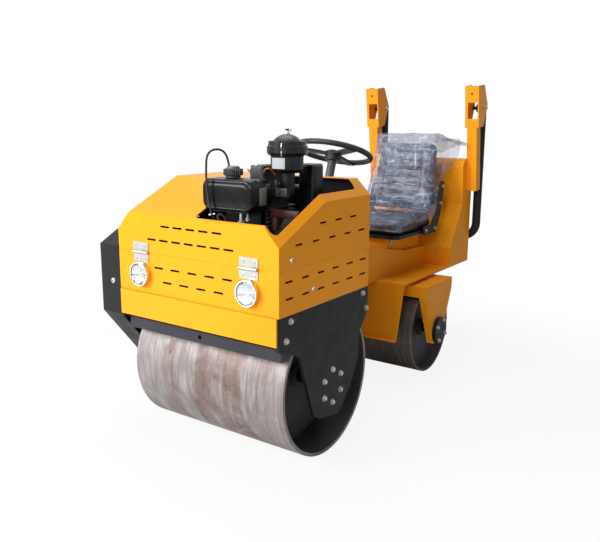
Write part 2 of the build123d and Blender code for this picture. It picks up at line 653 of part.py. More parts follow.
FORK_FRONT_Y = REAR_AXLE_Y - FORK_HALF_LENGTH
FORK_REAR_Y = REAR_AXLE_Y + FORK_HALF_LENGTH
FORK_OUTLINE = (
    (FORK_FRONT_Y, FORK_TOP_Z), (FORK_REAR_Y, FORK_TOP_Z), (FORK_REAR_Y, FORK_TOP_Z - FORK_LIP),
    (REAR_AXLE_Y + FORK_TIP_HALF, FORK_TIP_Z), (REAR_AXLE_Y - FORK_TIP_HALF, FORK_TIP_Z),
    (FORK_FRONT_Y, FORK_TOP_Z - FORK_LIP))
with BuildPart() as fork:
    # folded crown over the drum
    with BuildSketch(side(-FORK_HALF_WIDTH)):
        outline((FORK_FRONT_Y, FORK_TOP_Z), (FORK_REAR_Y, FORK_TOP_Z),
                (FORK_REAR_Y, FORK_TOP_Z - FORK_LIP),
                (FORK_REAR_Y - FORK_PLATE, FORK_TOP_Z - FORK_LIP),
                (FORK_REAR_Y - FORK_PLATE, FORK_TOP_Z - FORK_PLATE),
                (FORK_FRONT_Y + FORK_PLATE, FORK_TOP_Z - FORK_PLATE),
                (FORK_FRONT_Y + FORK_PLATE, FORK_TOP_Z - FORK_LIP),
                (FORK_FRONT_Y, FORK_TOP_Z - FORK_LIP))
    extrude(amount=2 * FORK_HALF_WIDTH)
    # tapering arms with their edges folded in
    for inner_x, edge_x in ((FORK_HALF_WIDTH - FORK_SIDE, FORK_HALF_WIDTH - FORK_EDGE),
                            (-FORK_HALF_WIDTH, -FORK_HALF_WIDTH)):
        with BuildSketch(side(edge_x)) as arm:
            outline(*FORK_OUTLINE)
            offset(amount=-FORK_PLATE, mode=Mode.SUBTRACT)
        extrude(amount=FORK_EDGE)
        with BuildSketch(side(inner_x)):
            outline(*FORK_OUTLINE)
        extrude(amount=FORK_SIDE)
    # steering arm behind the crown, and its pin for the cylinder
    with BuildSketch(level(FORK_TOP_Z - FORK_PLATE)):
        with Locations((0, (FORK_REAR_Y + STEER_PIN_Y) / 2)):
            Rectangle(2 * STEER_ARM_HALF, STEER_PIN_Y - FORK_REAR_Y)
        with Locations((0, STEER_PIN_Y)):
            Circle(STEER_ARM_HALF)
    extrude(amount=FORK_PLATE)
    with BuildSketch(level(CYLINDER_Z - EYE_WIDTH / 2)):
        with Locations((0, STEER_PIN_Y)):
            Circle(STEER_PIN_R)
    extrude(amount=FORK_TOP_Z - CYLINDER_Z + EYE_WIDTH / 2 - FORK_PLATE)
    # slew boss and kingpin bore
    with BuildSketch(level(FORK_TOP_Z)):
        with Locations((0, REAR_AXLE_Y)):
            Circle(SLEW_R)
    extrude(amount=(FLOOR_Z - FORK_TOP_Z - FIT) / 2)
    with BuildSketch(level(FORK_TOP_Z - FORK_PLATE)):
        with Locations((0, REAR_AXLE_Y)):
            Circle(KINGPIN_R + RUNNING_FIT)
    extrude(amount=FLOOR_Z - FORK_TOP_Z + FORK_PLATE, mode=Mode.SUBTRACT)
save(fork.part, "fork")

# rear stub axles bolted on the fork's arms
with BuildPart() as rear_stub_axles:
    for plate_x, toward in ((FORK_HALF_WIDTH, 1), (-FORK_HALF_WIDTH, -1)):
        with BuildSketch(side(plate_x)):
            with Locations((REAR_AXLE_Y, REAR_DRUM_R)):
                Circle(REAR_FLANGE_R)
        extrude(amount=toward * REAR_FLANGE)
    for plate_x, toward in ((FORK_HALF_WIDTH - FORK_SIDE, -1), (-FORK_HALF_WIDTH + FORK_SIDE, 1)):
        with BuildSketch(side(plate_x)):
            with Locations((REAR_AXLE_Y, REAR_DRUM_R)):
                Circle(REAR_STUB_R)
        extrude(amount=toward * (FORK_HALF_WIDTH - FORK_SIDE - REAR_WEB_X + REAR_WEB))
save(rear_stub_axles.part, "rear_stub_axles")

# scraper hung under the crown's front edge
SCRAPER_Y = FORK_FRONT_Y + FORK_PLATE
SCRAPER_LOW_Z = REAR_DRUM_R + sqrt((REAR_DRUM_R + SCRAPER_GAP) ** 2
                                   - (REAR_AXLE_Y - SCRAPER_Y - SCRAPER_PLATE) ** 2)
with BuildPart() as rear_scraper:
    with BuildSketch(side(-REAR_DRUM_HALF)):
        outline((SCRAPER_Y, SCRAPER_LOW_Z), (SCRAPER_Y + SCRAPER_PLATE, SCRAPER_LOW_Z),
                (SCRAPER_Y + SCRAPER_PLATE, FORK_TOP_Z - FORK_PLATE),
                (SCRAPER_Y, FORK_TOP_Z - FORK_PLATE))
    extrude(amount=2 * REAR_DRUM_HALF)
save(rear_scraper.part, "rear_scraper")

# kingpin under the floor, with its slew ring
with BuildPart() as kingpin:
    with BuildSketch(level((FLOOR_Z + FORK_TOP_Z + FIT) / 2)):
        with Locations((0, REAR_AXLE_Y)):
            Circle(SLEW_R)
    extrude(amount=(FLOOR_Z - FORK_TOP_Z - FIT) / 2)
    with BuildSketch(level(KINGPIN_LOW_Z)):
        with Locations((0, REAR_AXLE_Y)):
            Circle(KINGPIN_R)
    extrude(amount=FLOOR_Z - KINGPIN_LOW_Z)
save(kingpin.part, "kingpin")

# steering cylinder: anchor pin under the floor, barrel and rod
ANCHOR = Plane(origin=at(ANCHOR_X, ANCHOR_Y, CYLINDER_Z), x_dir=(1, 0, 0), z_dir=(0, 0, 1))
CYLINDER = ANCHOR.rotated((0, 0, CYLINDER_TURN))


def down_the_cylinder(distance):
    """Plane across the cylinder, facing the rod's eye, a distance from the anchor pin."""
    start = CYLINDER.location * Location((distance, 0, 0))
    return Plane(origin=start.position, x_dir=CYLINDER.y_dir, z_dir=CYLINDER.x_dir)


with BuildPart() as cylinder_anchor:
    with BuildSketch(level(CYLINDER_Z - EYE_WIDTH / 2)):
        with Locations((ANCHOR_X, ANCHOR_Y)):
            Circle(STEER_PIN_R)
    extrude(amount=FLOOR_Z - CYLINDER_Z + EYE_WIDTH / 2)
    with BuildSketch(level(CYLINDER_Z + EYE_WIDTH / 2 + 2)):
        with Locations((ANCHOR_X, ANCHOR_Y)):
            Circle(EYE_R)
    extrude(amount=FLOOR_Z - CYLINDER_Z - EYE_WIDTH / 2 - 2)
save(cylinder_anchor.part, "cylinder_anchor")

with BuildPart() as cylinder_barrel:
    with BuildSketch(CYLINDER.offset(-EYE_WIDTH / 2)):
        Circle(EYE_R)
        with Locations((EYE_R, 0)):
            Rectangle(2 * EYE_R, EYE_R)
    extrude(amount=EYE_WIDTH)
    with BuildSketch(down_the_cylinder(EYE_R * 1.6)):
        Circle(BARREL_R)
    extrude(amount=BARREL_LENGTH - EYE_R * 1.6)
    with BuildSketch(down_the_cylinder(EYE_R * 2.2)):
        Circle(BARREL_BORE)
    extrude(amount=BARREL_LENGTH - EYE_R * 3, mode=Mode.SUBTRACT)
    with BuildSketch(down_the_cylinder(EYE_R * 2.2)):
        Circle(ROD_R + RUNNING_FIT)
    extrude(amount=BARREL_LENGTH, mode=Mode.SUBTRACT)
    with BuildSketch(CYLINDER.offset(-EYE_WIDTH / 2)):
        Circle(STEER_PIN_R + RUNNING_FIT)
    extrude(amount=EYE_WIDTH, mode=Mode.SUBTRACT)
save(cylinder_barrel.part, "cylinder_barrel")

with BuildPart() as cylinder_rod:
    with BuildSketch(down_the_cylinder(ROD_INSIDE)):
        Circle(ROD_R)
    extrude(amount=CYLINDER_SPAN - ROD_EYE_R * 0.9 - ROD_INSIDE)
    with BuildSketch(CYLINDER.offset(-EYE_WIDTH / 2)):
        with Locations((CYLINDER_SPAN, 0)):
            Circle(ROD_EYE_R)
    extrude(amount=EYE_WIDTH)
    with BuildSketch(CYLINDER.offset(-EYE_WIDTH / 2)):
        with Locations((CYLINDER_SPAN, 0)):
            Circle(STEER_PIN_R + EYE_PLAY)
    extrude(amount=EYE_WIDTH, mode=Mode.SUBTRACT)
save(cylinder_rod.part, "cylinder_rod")

# ---------------------------------------------------------------- rear platform
# spine: a folded channel from the engine bay to the seat box
FLOOR_TOP = FLOOR_Z + FLOOR_PLATE
SPINE_FALL = (SPINE_FRONT_Z - SPINE_KNEE_Z) / (SPINE_KNEE_Y - SPINE_COLUMN_Y)


def spine_top(y):
    """Height of the spine's top at a station y between the column and the knee."""
    return SPINE_FRONT_Z - SPINE_FALL * (max(SPINE_COLUMN_Y, min(y, SPINE_KNEE_Y)) - SPINE_COLUMN_Y)


with BuildPart() as spine:
    with BuildSketch(side(-SPINE_HALF)):
        outline((HOOD_LENGTH, FLOOR_TOP), (HOOD_LENGTH, SPINE_FRONT_Z),
                (SPINE_COLUMN_Y, SPINE_FRONT_Z), (SPINE_KNEE_Y, SPINE_KNEE_Z),
                (BOX_FRONT_Y, BOX_STEP_Z), (BOX_FRONT_Y, FLOOR_TOP))
    extrude(amount=2 * SPINE_HALF)
    offset(amount=-SPINE_SHEET, openings=spine.faces().sort_by(Axis.Z)[0])
save(spine.part, "spine")

# floor plate with the apron folded down ahead of the rear drum
with BuildPart() as platform:
    with BuildSketch(side(-PLATFORM_HALF)):
        outline((APRON_TOP_Y, FLOOR_TOP), (BOX_REAR_Y, FLOOR_TOP), (BOX_REAR_Y, FLOOR_Z),
                (APRON_TOP_Y + APRON_SHEET, FLOOR_Z), (APRON_FOOT_Y + APRON_SHEET, APRON_FOOT_Z),
                (APRON_FOOT_Y - APRON_LIP, APRON_FOOT_Z),
                (APRON_FOOT_Y - APRON_LIP, APRON_FOOT_Z + APRON_SHEET),
                (APRON_FOOT_Y, APRON_FOOT_Z + APRON_SHEET))
    extrude(amount=2 * PLATFORM_HALF)
save(platform.part, "platform")

# seat box: side cheeks and folded front with the raised back, open below on the floor
BOX_OUTLINE = (
    (BOX_FRONT_Y, FLOOR_TOP), (BOX_FRONT_Y, BOX_STEP_Z),
    (BOX_REAR_Y - BOX_TOWER_DEPTH, BOX_TOWER_Z), (BOX_REAR_Y - BOX_TOP_DEPTH, BOX_TOP_Z),
    (BOX_REAR_Y, BOX_TOP_Z), (BOX_REAR_Y, FLOOR_TOP))
with BuildPart() as seat_box:
    with BuildSketch(side(-PLATFORM_HALF)):
        outline(*BOX_OUTLINE)
    extrude(amount=2 * PLATFORM_HALF)
    brow = seat_box.edges().filter_by(Axis.X).group_by(Axis.Z)[-1].sort_by(Axis.Y)[0]
    fillet(brow, BOX_BROW_R)
    offset(amount=-BOX_SHEET, openings=seat_box.faces().sort_by(Axis.Z)[0])
save(seat_box.part, "seat_box")

# ---------------------------------------------------------------- seat
with BuildPart() as seat_riser:
    with BuildSketch(side(-RISER_HALF)):
        outline((RISER_FRONT_Y, spine_top(RISER_FRONT_Y)), (RISER_FRONT_Y, PAN_Z),
                (PAN_REAR_Y, PAN_Z), (PAN_REAR_Y, SPINE_KNEE_Z
                 - (SPINE_KNEE_Z - BOX_STEP_Z) * (PAN_REAR_Y - SPINE_KNEE_Y)
                 / (BOX_FRONT_Y - SPINE_KNEE_Y)), (SPINE_KNEE_Y, SPINE_KNEE_Z))
    extrude(amount=2 * RISER_HALF)
save(seat_riser.part, "seat_riser")

PAN_MID_Y = (PAN_FRONT_Y + PAN_REAR_Y) / 2
with BuildPart() as seat_pan:
    with BuildSketch(level(PAN_Z)):
        with Locations((0, PAN_MID_Y)):
            RectangleRounded(2 * (SEAT_HALF_WIDTH - PAN_INSET), PAN_DEPTH, CUSHION_CORNER - PAN_INSET)
    extrude(amount=PAN_HEIGHT)
save(seat_pan.part, "seat_pan")

CUSHION_Z = PAN_Z + PAN_HEIGHT + FIT
with BuildPart() as seat_cushion:
    with BuildSketch(level(CUSHION_Z)):
        with Locations((0, PAN_MID_Y)):
            RectangleRounded(2 * SEAT_HALF_WIDTH, PAN_DEPTH, CUSHION_CORNER)
    extrude(amount=CUSHION_THICK)
    fillet(seat_cushion.faces().sort_by(Axis.Z)[-1].edges(), CUSHION_THICK / 4)
save(seat_cushion.part, "seat_cushion")

# backrest: a tapering cushion whose front face leans back
LEAN = radians(BACK_LEAN)
BACK_FOOT_Z = CUSHION_Z + CUSHION_THICK + FIT
BACK_CLEAR = BACK_THICK * tan(LEAN)


def back_point(depth, height):
    """Station (y, z) behind the backrest's front face and up along it."""
    return (BACK_FOOT_Y + depth * cos(LEAN) + height * sin(LEAN),
            BACK_FOOT_Z - depth * sin(LEAN) + height * cos(LEAN))


def back_plane(depth):
    """Plane of the backrest's width and height, facing forward, a depth behind its face."""
    return Plane(origin=at(0, *back_point(depth, 0)), x_dir=(1, 0, 0),
                 z_dir=(0, -cos(LEAN), sin(LEAN)))


with BuildPart() as seat_backrest:
    with BuildSketch(back_plane(0)) as back_outline:
        outline((-BACK_FOOT_HALF, BACK_CLEAR), (BACK_FOOT_HALF, BACK_CLEAR),
                (BACK_TOP_HALF, BACK_CLEAR + BACK_HEIGHT),
                (-BACK_TOP_HALF, BACK_CLEAR + BACK_HEIGHT))
        fillet(back_outline.vertices(), BACK_CORNER)
    extrude(amount=-BACK_THICK)
    fillet(seat_backrest.faces().sort_by(Axis.Y)[0].edges(), BACK_THICK / 4)
save(seat_backrest.part, "seat_backrest")

# side brackets from the pan up beside the backrest, with a strap under and one behind
STRAP_DEPTH = BACK_THICK + FIT
with BuildPart() as seat_brackets:
    for plate_x in (SEAT_HALF_WIDTH + FIT, -SEAT_HALF_WIDTH - FIT - BRACKET_PLATE):
        with BuildSketch(side(plate_x)) as bracket_outline:
            outline((PAN_REAR_Y - BRACKET_FOOT, PAN_Z - BRACKET_FOOT_DROP),
                    (PAN_REAR_Y - BRACKET_FOOT, PAN_Z + BRACKET_FOOT_RISE),
                    (PAN_REAR_Y - BRACKET_ARM, PAN_Z + BRACKET_FOOT_RISE),
                    back_point(BACK_THICK - BRACKET_ARM / 2, BRACKET_ARM_TALL),
                    back_point(BACK_THICK + BRACKET_ARM / 2, BRACKET_ARM_TALL),
                    back_point(BACK_THICK + BRACKET_ARM / 2, 0),
                    (PAN_REAR_Y, PAN_Z - BRACKET_FOOT_DROP))
            fillet(bracket_outline.vertices(), BRACKET_PLATE * 1.5)
        extrude(amount=BRACKET_PLATE)
    with BuildSketch(level(PAN_Z - BRACKET_PLATE)):
        with Locations((0, PAN_REAR_Y - BRACKET_FOOT / 2)):
            Rectangle(2 * (SEAT_HALF_WIDTH + FIT + BRACKET_PLATE), STRAP_WIDTH)
            Rectangle(2 * RISER_HALF, STRAP_WIDTH, mode=Mode.SUBTRACT)
    extrude(amount=BRACKET_PLATE)
    with BuildSketch(back_plane(STRAP_DEPTH)):
        with Locations((0, BRACKET_ARM_TALL / 2)):
            Rectangle(2 * (SEAT_HALF_WIDTH + FIT + BRACKET_PLATE), STRAP_WIDTH)
    extrude(amount=-STRAP_SHEET)
save(seat_brackets.part, "seat_brackets")

# ---------------------------------------------------------------- roll bar
CHANNEL_OUTLINE = (
    (0, CHANNEL_LOW), (CHANNEL_FOOT_DEPTH, CHANNEL_LOW),
    (CHANNEL_TOP_DEPTH, CHANNEL_LOW + CHANNEL_KNEE),
    (CHANNEL_BACK, CHANNEL_LOW + CHANNEL_BACK_UP), (CHANNEL_TOP_DEPTH, CHANNEL_TOP),
    (0, CHANNEL_TOP))


def post_plane(x):
    """Fore-and-aft plane at x tilted with the post; sketch x, y run back and up the post."""
    foot = Plane(origin=at(x, POST_FOOT_Y, POST_FOOT_Z), x_dir=(0, 1, 0), z_dir=(1, 0, 0))
    return foot.rotated((POST_LEAN, 0, 0))


for name, post_x in (("rops_post_left", POST_X), ("rops_post_right", -POST_X)):
    with BuildPart() as rops_post:
        with BuildSketch(post_plane(post_x)):
            with Locations((POST_TUBE / 2, POST_LENGTH / 2)):
                Rectangle(POST_TUBE, POST_LENGTH)
        extrude(amount=POST_TUBE / 2, both=True)
        with BuildSketch(post_plane(post_x)):
            with Locations((POST_TUBE / 2, POST_LENGTH / 2)):
                Rectangle(POST_TUBE - 2 * POST_WALL, POST_LENGTH)
        extrude(amount=POST_TUBE / 2 - POST_WALL, both=True, mode=Mode.SUBTRACT)
        # channel: front plate with window and lock hole, two kite-shaped cheeks
        with BuildSketch(post_plane(post_x)):
            with Locations((CHANNEL_SHEET / 2, (CHANNEL_LOW + CHANNEL_TOP) / 2)):
                Rectangle(CHANNEL_SHEET, CHANNEL_HEIGHT)
        extrude(amount=CHANNEL_WIDTH / 2, both=True)
        for cheek_x in (post_x + CHANNEL_WIDTH / 2 - CHANNEL_SHEET / 2,
                        post_x - CHANNEL_WIDTH / 2 + CHANNEL_SHEET / 2):
            with BuildSketch(post_plane(cheek_x)):
                outline(*CHANNEL_OUTLINE)
                with Locations((PIVOT_BACK, PIVOT_UP)):
                    Circle(PIVOT_R + RUNNING_FIT, mode=Mode.SUBTRACT)
            extrude(amount=CHANNEL_SHEET / 2, both=True)
        front = Plane(origin=post_plane(post_x).origin, x_dir=(1, 0, 0),
                      z_dir=-post_plane(post_x).x_dir)
        with BuildSketch(front):
            with Locations((WINDOW_ASIDE, CHANNEL_TOP - WINDOW_DOWN)):
                Rectangle(WINDOW_WIDTH, WINDOW_HEIGHT)
            with Locations((0, CHANNEL_TOP - LOCK_HOLE_DOWN)):
                Circle(LOCK_HOLE_R)
        extrude(amount=-CHANNEL_SHEET, mode=Mode.SUBTRACT)
    save(rops_post.part, name)

# folding bow: hangs behind the posts, turns on two pins
with BuildPart() as rops_bow:
    with BuildLine() as bow_line:
        FilletPolyline(at(-POST_X, BOW_Y, PIVOT_Z + BOW_TUBE_R), at(-POST_X, BOW_Y, BOW_LOW_Z),
                       at(POST_X, BOW_Y, BOW_LOW_Z), at(POST_X, BOW_Y, PIVOT_Z + BOW_TUBE_R),
                       radius=BOW_BEND_R)
    with BuildSketch(Plane(origin=at(-POST_X, BOW_Y, PIVOT_Z + BOW_TUBE_R), z_dir=(0, 0, -1))):
        Circle(BOW_TUBE_R)
        Circle(BOW_TUBE_R - BOW_WALL, mode=Mode.SUBTRACT)
    sweep()
    for leg_x in (-POST_X, POST_X):
        with BuildSketch(side(leg_x)):
            with Locations((PIVOT_Y, PIVOT_Z)):
                Circle(BOW_TUBE_R)
            with Locations(((PIVOT_Y + BOW_Y) / 2, PIVOT_Z)):
                Rectangle(BOW_LEG_BEHIND, 2 * BOW_TUBE_R)
        extrude(amount=BOW_EAR / 2, both=True)
        with BuildSketch(side(leg_x)):
            with Locations((PIVOT_Y, PIVOT_Z)):
                Circle(PIVOT_R)
        extrude(amount=CHANNEL_WIDTH / 2, both=True)
save(rops_bow.part, "rops_bow")

# ---------------------------------------------------------------- steering column and wheel
COLUMN_DIR = (0, sin(radians(WHEEL_TILT)), cos(radians(WHEEL_TILT)))
WHEEL_PLANE = Plane(origin=at(0, WHEEL_Y, WHEEL_Z), x_dir=(1, 0, 0), z_dir=COLUMN_DIR)
COLUMN_TOP = -WHEEL_HUB - 4
COLUMN_FOOT = -(WHEEL_Z - SPINE_FRONT_Z) / cos(radians(WHEEL_TILT))
with BuildPart() as steering_column:
    with BuildSketch(WHEEL_PLANE.offset(COLUMN_FOOT - COLUMN_HOUSING_R)):
        Circle(COLUMN_HOUSING_R)
    extrude(amount=COLUMN_HOUSING)
    with BuildSketch(WHEEL_PLANE.offset(COLUMN_FOOT)):
        Circle(COLUMN_R)
    extrude(amount=COLUMN_TOP - COLUMN_FOOT)
    with BuildSketch(WHEEL_PLANE.offset(COLUMN_TOP)):
        Circle(COLUMN_R / 2)
    extrude(amount=-COLUMN_TOP - WHEEL_HUB / 2)
    spine_slope = Plane(origin=at(0, SPINE_COLUMN_Y, SPINE_FRONT_Z), z_dir=(0, SPINE_FALL, 1))
    split(bisect_by=spine_slope, keep=Keep.TOP)
save(steering_column.part, "steering_column")

with BuildPart() as steering_wheel:
    with BuildSketch(Plane(origin=WHEEL_PLANE.origin, x_dir=WHEEL_PLANE.x_dir,
                           z_dir=-WHEEL_PLANE.y_dir)):
        with Locations((WHEEL_R - WHEEL_RIM_R, 0)):
            Circle(WHEEL_RIM_R)
    revolve(axis=Axis(WHEEL_PLANE.origin, WHEEL_PLANE.z_dir))
    with BuildSketch(WHEEL_PLANE.offset(-WHEEL_HUB)):
        Circle(WHEEL_HUB_R)
    extrude(amount=WHEEL_HUB)
    with BuildSketch(WHEEL_PLANE.offset(-SPOKE_PLATE * 1.4)):
        with PolarLocations((WHEEL_R - WHEEL_RIM_R) / 2, 3, start_angle=90):
            Rectangle(WHEEL_R - WHEEL_RIM_R, SPOKE_WIDTH)
    extrude(amount=SPOKE_PLATE)
    with BuildSketch(WHEEL_PLANE.offset(COLUMN_TOP)):
        Circle(COLUMN_R / 2 + RUNNING_FIT)
    extrude(amount=-COLUMN_TOP - WHEEL_HUB / 2 + 1, mode=Mode.SUBTRACT)
save(steering_wheel.part, "steering_wheel")

# ---------------------------------------------------------------- engine
# crankcase on its two rails, and the finned cylinder on top
BLOCK_MID_X = (BLOCK_LEFT_X + BLOCK_RIGHT_X) / 2
BLOCK_MID_Y = (BLOCK_FRONT_Y + BLOCK_REAR_Y) / 2
FIN_COUNT = round((CYLINDER_TALL - FIN_PITCH) / FIN_PITCH)
with BuildPart() as engine_block:
    with BuildSketch(level(BAND_LOW_Z + RAIL_HEIGHT)):
        with Locations((BLOCK_MID_X, BLOCK_MID_Y)):
            RectangleRounded(BLOCK_RIGHT_X - BLOCK_LEFT_X, BLOCK_DEPTH, BLOCK_CORNER)
    extrude(amount=BLOCK_TOP_Z - BAND_LOW_Z - RAIL_HEIGHT)
    chamfer(engine_block.faces().sort_by(Axis.Z)[-1].edges(), BLOCK_CORNER / 2)
    with BuildSketch(level(BAND_LOW_Z)):
        for rail_x in (BLOCK_LEFT_X + RAIL_WIDTH, BLOCK_RIGHT_X - RAIL_WIDTH):
            with Locations((rail_x, BLOCK_MID_Y)):
                Rectangle(RAIL_WIDTH, BLOCK_DEPTH + 2 * RAIL_REACH)
    extrude(amount=RAIL_HEIGHT)
    with BuildSketch(level(BLOCK_TOP_Z)):
        with Locations((CYLINDER_X, CYLINDER_Y)):
            RectangleRounded(CYLINDER_WIDE, CYLINDER_DEEP, CYLINDER_CORNER)
    extrude(amount=CYLINDER_TALL)
    for fin in range(1, FIN_COUNT):
        with BuildSketch(level(BLOCK_TOP_Z + fin * FIN_PITCH)):
            with Locations((CYLINDER_X, CYLINDER_Y)):
                RectangleRounded(CYLINDER_WIDE + 2 * FIN_REACH, CYLINDER_DEEP + 2 * FIN_REACH,
                                 CYLINDER_CORNER)
        extrude(amount=FIN_PLATE)
save(engine_block.part, "engine_block")

# cylinder head and rocker cover
HEAD_WIDE = CYLINDER_WIDE + 2 * HEAD_REACH
HEAD_DEEP = CYLINDER_DEEP + 2 * HEAD_REACH
with BuildPart() as engine_head:
    with BuildSketch(level(HEAD_Z)):
        with Locations((CYLINDER_X, CYLINDER_Y)):
            RectangleRounded(HEAD_WIDE, HEAD_DEEP, CYLINDER_CORNER)
    extrude(amount=HEAD_TALL)
    with BuildSketch(level(HEAD_Z + HEAD_TALL)):
        with Locations((CYLINDER_X, CYLINDER_Y)):
            RectangleRounded(ROCKER_WIDE, ROCKER_DEEP, ROCKER_CORNER)
    extrude(amount=ROCKER_TALL)
    fillet(engine_head.faces().sort_by(Axis.Z)[-1].edges(), ROCKER_CORNER / 2)
save(engine_head.part, "engine_head")

# fan and starter cover on the +X side: a bevelled drum with a slotted air intake
with BuildPart() as recoil_housing:
    with BuildSketch(side(BLOCK_RIGHT_X)):
        with Locations((RECOIL_Y, RECOIL_Z)):
            Circle(RECOIL_R)
    extrude(amount=RECOIL_DEEP)
    chamfer(recoil_housing.faces().sort_by(Axis.X)[-1].edges(), RECOIL_BEVEL)
    with BuildSketch(side(BLOCK_RIGHT_X + RECOIL_DEEP)):
        with Locations((RECOIL_Y, RECOIL_Z)):
            Circle(RECOIL_BOSS_R)
    extrude(amount=RECOIL_BOSS)
    fillet(recoil_housing.faces().sort_by(Axis.X)[-1].edges(), RECOIL_BOSS / 3)
    with BuildSketch(side(BLOCK_RIGHT_X + RECOIL_DEEP)):
        with Locations((RECOIL_Y, RECOIL_Z)):
            with PolarLocations((GRILLE_R + RECOIL_BOSS_R) / 2, 20):
                SlotOverall(GRILLE_R - RECOIL_BOSS_R, GRILLE_SLOT_WIDTH)
    extrude(amount=-GRILLE_SLOT, mode=Mode.SUBTRACT)
save(recoil_housing.part, "recoil_housing")

with BuildPart() as fuel_tank:
    with BuildSketch(level(TANK_LOW_Z)):
        with Locations((TANK_LEFT_X + TANK_WIDTH / 2, TANK_FRONT_Y + TANK_DEPTH / 2)):
            RectangleRounded(TANK_WIDTH, TANK_DEPTH, TANK_CORNER)
    extrude(amount=TANK_TALL)
    fillet(fuel_tank.faces().sort_by(Axis.Z)[-1].edges(), TANK_CORNER / 2)
    fillet(fuel_tank.faces().sort_by(Axis.Z)[0].edges(), TANK_CORNER / 2)
    # hose fitting behind the cap
    with BuildSketch(level(TANK_TOP_Z)):
        with Locations((FITTING_X, FITTING_Y)):
            Circle(FITTING_R)
    extrude(amount=FITTING)
save(fuel_tank.part, "fuel_tank")

# folded shelf that carries the tank in front of the crankcase
with BuildPart() as tank_bracket:
    with BuildSketch(side(TANK_LEFT_X + TANK_SHELF_INSET)):
        outline((TANK_FRONT_Y + TANK_CORNER, TANK_LOW_Z), (BLOCK_FRONT_Y, TANK_LOW_Z),
                (BLOCK_FRONT_Y, BLOCK_TOP_Z - SHELF_DROP),
                (BLOCK_FRONT_Y - SHELF_SHEET, BLOCK_TOP_Z - SHELF_DROP),
                (BLOCK_FRONT_Y - SHELF_SHEET, TANK_LOW_Z - SHELF_SHEET),
                (TANK_FRONT_Y + TANK_CORNER, TANK_LOW_Z - SHELF_SHEET))
    extrude(amount=TANK_WIDTH - 2 * TANK_SHELF_INSET)
    with BuildSketch(across(BLOCK_FRONT_Y - SHELF_SHEET)):
        with Locations((PUMP_X, PUMP_Z)):
            Circle(PUMP_R)
    extrude(amount=PUMP_DEEP)
save(tank_bracket.part, "tank_bracket")

TANK_MID_Y = TANK_FRONT_Y + TANK_DEPTH / 2
with BuildPart() as tank_cap:
    with BuildSketch(level(TANK_TOP_Z)):
        with Locations((CAP_X, TANK_MID_Y)):
            Circle(CAP_R)
    extrude(amount=CAP_HEIGHT)
    fillet(tank_cap.faces().sort_by(Axis.Z)[-1].edges(), CAP_HEIGHT / 8)
save(tank_cap.part, "tank_cap")

# air filter: cup, flared collar, domed lid and nut, turned about its own axis, on an elbow
FLARE_Z = FILTER_LOW_Z + FILTER_CUP
COLLAR_Z = FLARE_Z + FILTER_FLARE
LID_Z = COLLAR_Z + FILTER_COLLAR
DOME_Z = LID_Z + FILTER_STEP + FILTER_LID
FILTER_TOP_Z = DOME_Z + FILTER_DOME
HEAD_SIDE_X = CYLINDER_X + HEAD_WIDE / 2
with BuildPart() as air_filter:
    with BuildSketch(across(FILTER_Y)):
        with BuildLine():
            Polyline((FILTER_X, FILTER_TOP_Z + FILTER_NUT), (FILTER_X, FILTER_LOW_Z),
                     (FILTER_X + FILTER_CUP_R - FILTER_FLARE, FILTER_LOW_Z),
                     (FILTER_X + FILTER_CUP_R, FILTER_LOW_Z + FILTER_FLARE),
                     (FILTER_X + FILTER_CUP_R, FLARE_Z),
                     (FILTER_X + FILTER_COLLAR_R, COLLAR_Z),
                     (FILTER_X + FILTER_COLLAR_R, LID_Z),
                     (FILTER_X + FILTER_LID_R, LID_Z + FILTER_STEP),
                     (FILTER_X + FILTER_LID_R, DOME_Z),
                     (FILTER_X + FILTER_DOME_R, DOME_Z))
            ThreePointArc((FILTER_X + FILTER_DOME_R, DOME_Z),
                          (FILTER_X + FILTER_DOME_R * 0.68, DOME_Z + FILTER_DOME * 0.62),
                          (FILTER_X + FILTER_FLAT_R, FILTER_TOP_Z))
            Polyline((FILTER_X + FILTER_FLAT_R, FILTER_TOP_Z), (FILTER_X + FILTER_NUT_R, FILTER_TOP_Z),
                     (FILTER_X + FILTER_NUT_R, FILTER_TOP_Z + FILTER_NUT),
                     (FILTER_X, FILTER_TOP_Z + FILTER_NUT))
        make_face()
    revolve(axis=Axis(at(FILTER_X, FILTER_Y, 0), (0, 0, 1)))
    with BuildSketch(level(FILTER_LOW_Z - INTAKE_DROP)):
        with Locations((FILTER_X, FILTER_Y)):
            Circle(INTAKE_R)
    extrude(amount=INTAKE_DROP)
    with BuildSketch(side(HEAD_SIDE_X)):
        with Locations((FILTER_Y, HEAD_Z + HEAD_TALL / 2)):
            Circle(ELBOW_R)
    extrude(amount=FILTER_X - HEAD_SIDE_X)
save(air_filter.part, "air_filter")

# box silencer behind the filter, on a foot from the crankcase
MUFFLER_MID_X = MUFFLER_X + MUFFLER_WIDE / 2
MUFFLER_MID_Y = MUFFLER_Y + MUFFLER_DEEP / 2
with BuildPart() as muffler:
    with BuildSketch(level(MUFFLER_LOW_Z)):
        with Locations((MUFFLER_MID_X, MUFFLER_MID_Y)):
            RectangleRounded(MUFFLER_WIDE, MUFFLER_DEEP, MUFFLER_CORNER)
    extrude(amount=MUFFLER_TALL)
    fillet(muffler.faces().sort_by(Axis.Z)[-1].edges(), MUFFLER_CORNER * 0.8)
    # foot plate down to the crankcase, behind the starter cover
    with BuildSketch(across(MUFFLER_Y + MUFFLER_DEEP - MUFFLER_CORNER)):
        with Locations((MUFFLER_X, (BLOCK_TOP_Z + MUFFLER_LOW_Z) / 2)):
            Rectangle(MUFFLER_FOOT_WIDE, MUFFLER_LOW_Z - BLOCK_TOP_Z)
    extrude(amount=MUFFLER_FOOT)
save(muffler.part, "muffler")

